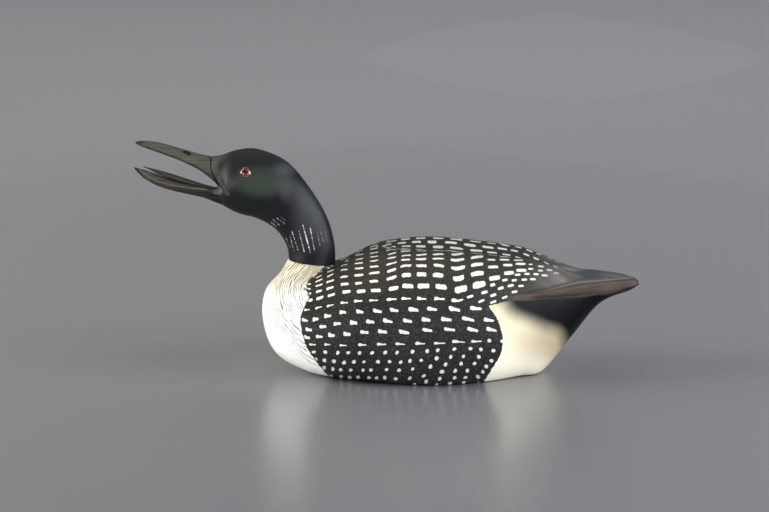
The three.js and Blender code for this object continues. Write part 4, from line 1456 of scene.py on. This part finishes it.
# Where each light stands, what it is aimed at, its size, watts and colour, whether shiny paint
# and the card mirror it, and which things it lights, if not all
LIGHTS = {
    "left_box": ((-2.5, -0.2, 0.8), MIDDLE, (1.6, 1.2), 54, "fffbf4", True, "decoy"),
    "right_box": ((2.2, -0.9, 0.7), MIDDLE, (2.6, 1.6), 52, "ecf4ff", True, "decoy"),
    "left_card_box": ((-2.6, -0.2, 1.3), MIDDLE, (1.6, 1.2), 50, "fffaf2", False, "card"),
    "right_card_box": ((2.4, -0.9, 1.3), MIDDLE, (2.0, 1.2), 48, "e6f0ff", False, "card"),
    "right_fill": ((1.2, -2.2, 0.5), MIDDLE, (1.6, 1.0), 7, "ffffff", True, "decoy"),
    "left_strip": ((-1.8, -1.2, 0.15), (-0.2, 0.0, 0.1), (1.6, 0.25), 13, "ffffff", True, "decoy"),
    "low_strip": ((0.2, -1.6, 0.2), (0.05, 0.0, 0.05), (2.8, 0.4), 23, "ffffff", False, "decoy"),
    "overhead": ((0.0, 0.5, 2.6), (0.0, 0.0, 0.0), (5.0, 3.6), 15, "ffffff", True, None),
    "backdrop": ((0.3, 2.35, 1.3), (0.3, 2.3, 0.0), (5.0, 2.2), 29, "fcfdff", False, None),
}


def make_camera():
    data = bpy.data.cameras.new("camera")
    data.sensor_width = SENSOR_WIDTH
    data.lens = SENSOR_WIDTH * CAMERA_DISTANCE / (PIXEL * PHOTO_SIZE[0])
    data.clip_end = CAMERA_SEES_TO
    camera = put_in_scene("camera", data)
    aside = (PHOTO_SIZE[0] / 2 - ORIGIN_PIXEL[0]) * PIXEL
    above = (ORIGIN_PIXEL[1] - PHOTO_SIZE[1] / 2) * PIXEL / math.cos(LOOKING_DOWN)
    back = Vector((0, -math.cos(LOOKING_DOWN), math.sin(LOOKING_DOWN)))
    camera.location = Vector((aside, 0, above)) + back * CAMERA_DISTANCE
    camera.rotation_euler = (math.pi / 2 - LOOKING_DOWN, 0, 0)
    bpy.context.scene.camera = camera


def make_floor():
    """A wide flat card that the decoy stands on, and that fills the view behind it."""
    signs = ((-1, -1), (1, -1), (1, 1), (-1, 1))
    corners = [(x * FLOOR_REACH, y * FLOOR_REACH, -FLOOR_BELOW) for x, y in signs]
    floor = make_object("floor", corners, [(0, 1, 2, 3)])
    floor.data.materials.append(floor_card())


def make_lights():
    """Soft boxes and strips round the decoy in a pale room. The card has two boxes of its own,
    because it mirrors the decoy and must not mirror the boxes."""
    lit = {name: bpy.data.collections.new(name) for name in ("card", "decoy")}
    for each in bpy.context.scene.objects:
        if each.type == "MESH":
            lit["card" if each.name == "floor" else "decoy"].objects.link(each)
    for name, (place, target, size, watts, colour, mirrored, lights_only) in LIGHTS.items():
        data = bpy.data.lights.new(name, "AREA")
        data.shape = "RECTANGLE"
        data.size, data.size_y = size
        data.energy = watts
        data.color = linear(colour)[:3]
        light = put_in_scene(name, data)
        light.location = place
        light.rotation_euler = (Vector(target) - Vector(place)).to_track_quat("-Z", "Y").to_euler()
        light.visible_camera = False
        light.visible_glossy = mirrored
        if lights_only:
            light.light_linking.receiver_collection = lit[lights_only]
    world = bpy.data.worlds.new("room")
    world.use_nodes = True
    world.node_tree.nodes["Background"].inputs[0].default_value = linear("ffffff")
    world.node_tree.nodes["Background"].inputs[1].default_value = ROOM_LIGHT
    bpy.context.scene.world = world


def dress(piece, material, slot, *nodes):
    piece.data.materials.clear()
    piece.data.materials.append(material)
    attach(piece, "root")
    if nodes:
        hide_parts(*nodes)


make_camera()
dress(make_body(), painted_body(), "body_paint", "body")
dress(make_head(), painted_head(), "head_paint", "head")
dress(make_tongue(), painted_tongue(), "tongue_paint", "tongue")
clear_glass = eye_glass()
enamel = iris_enamel()
for eye, eye_side in (("eye_left", -1), ("eye_right", 1)):
    button, iris = make_eye(eye, eye_side)
    dress(button, clear_glass, "eye_glass", eye)
    dress(iris, enamel, "eye_glass")
make_floor()
make_lights()
bpy.context.scene.view_settings.view_transform = "Standard"
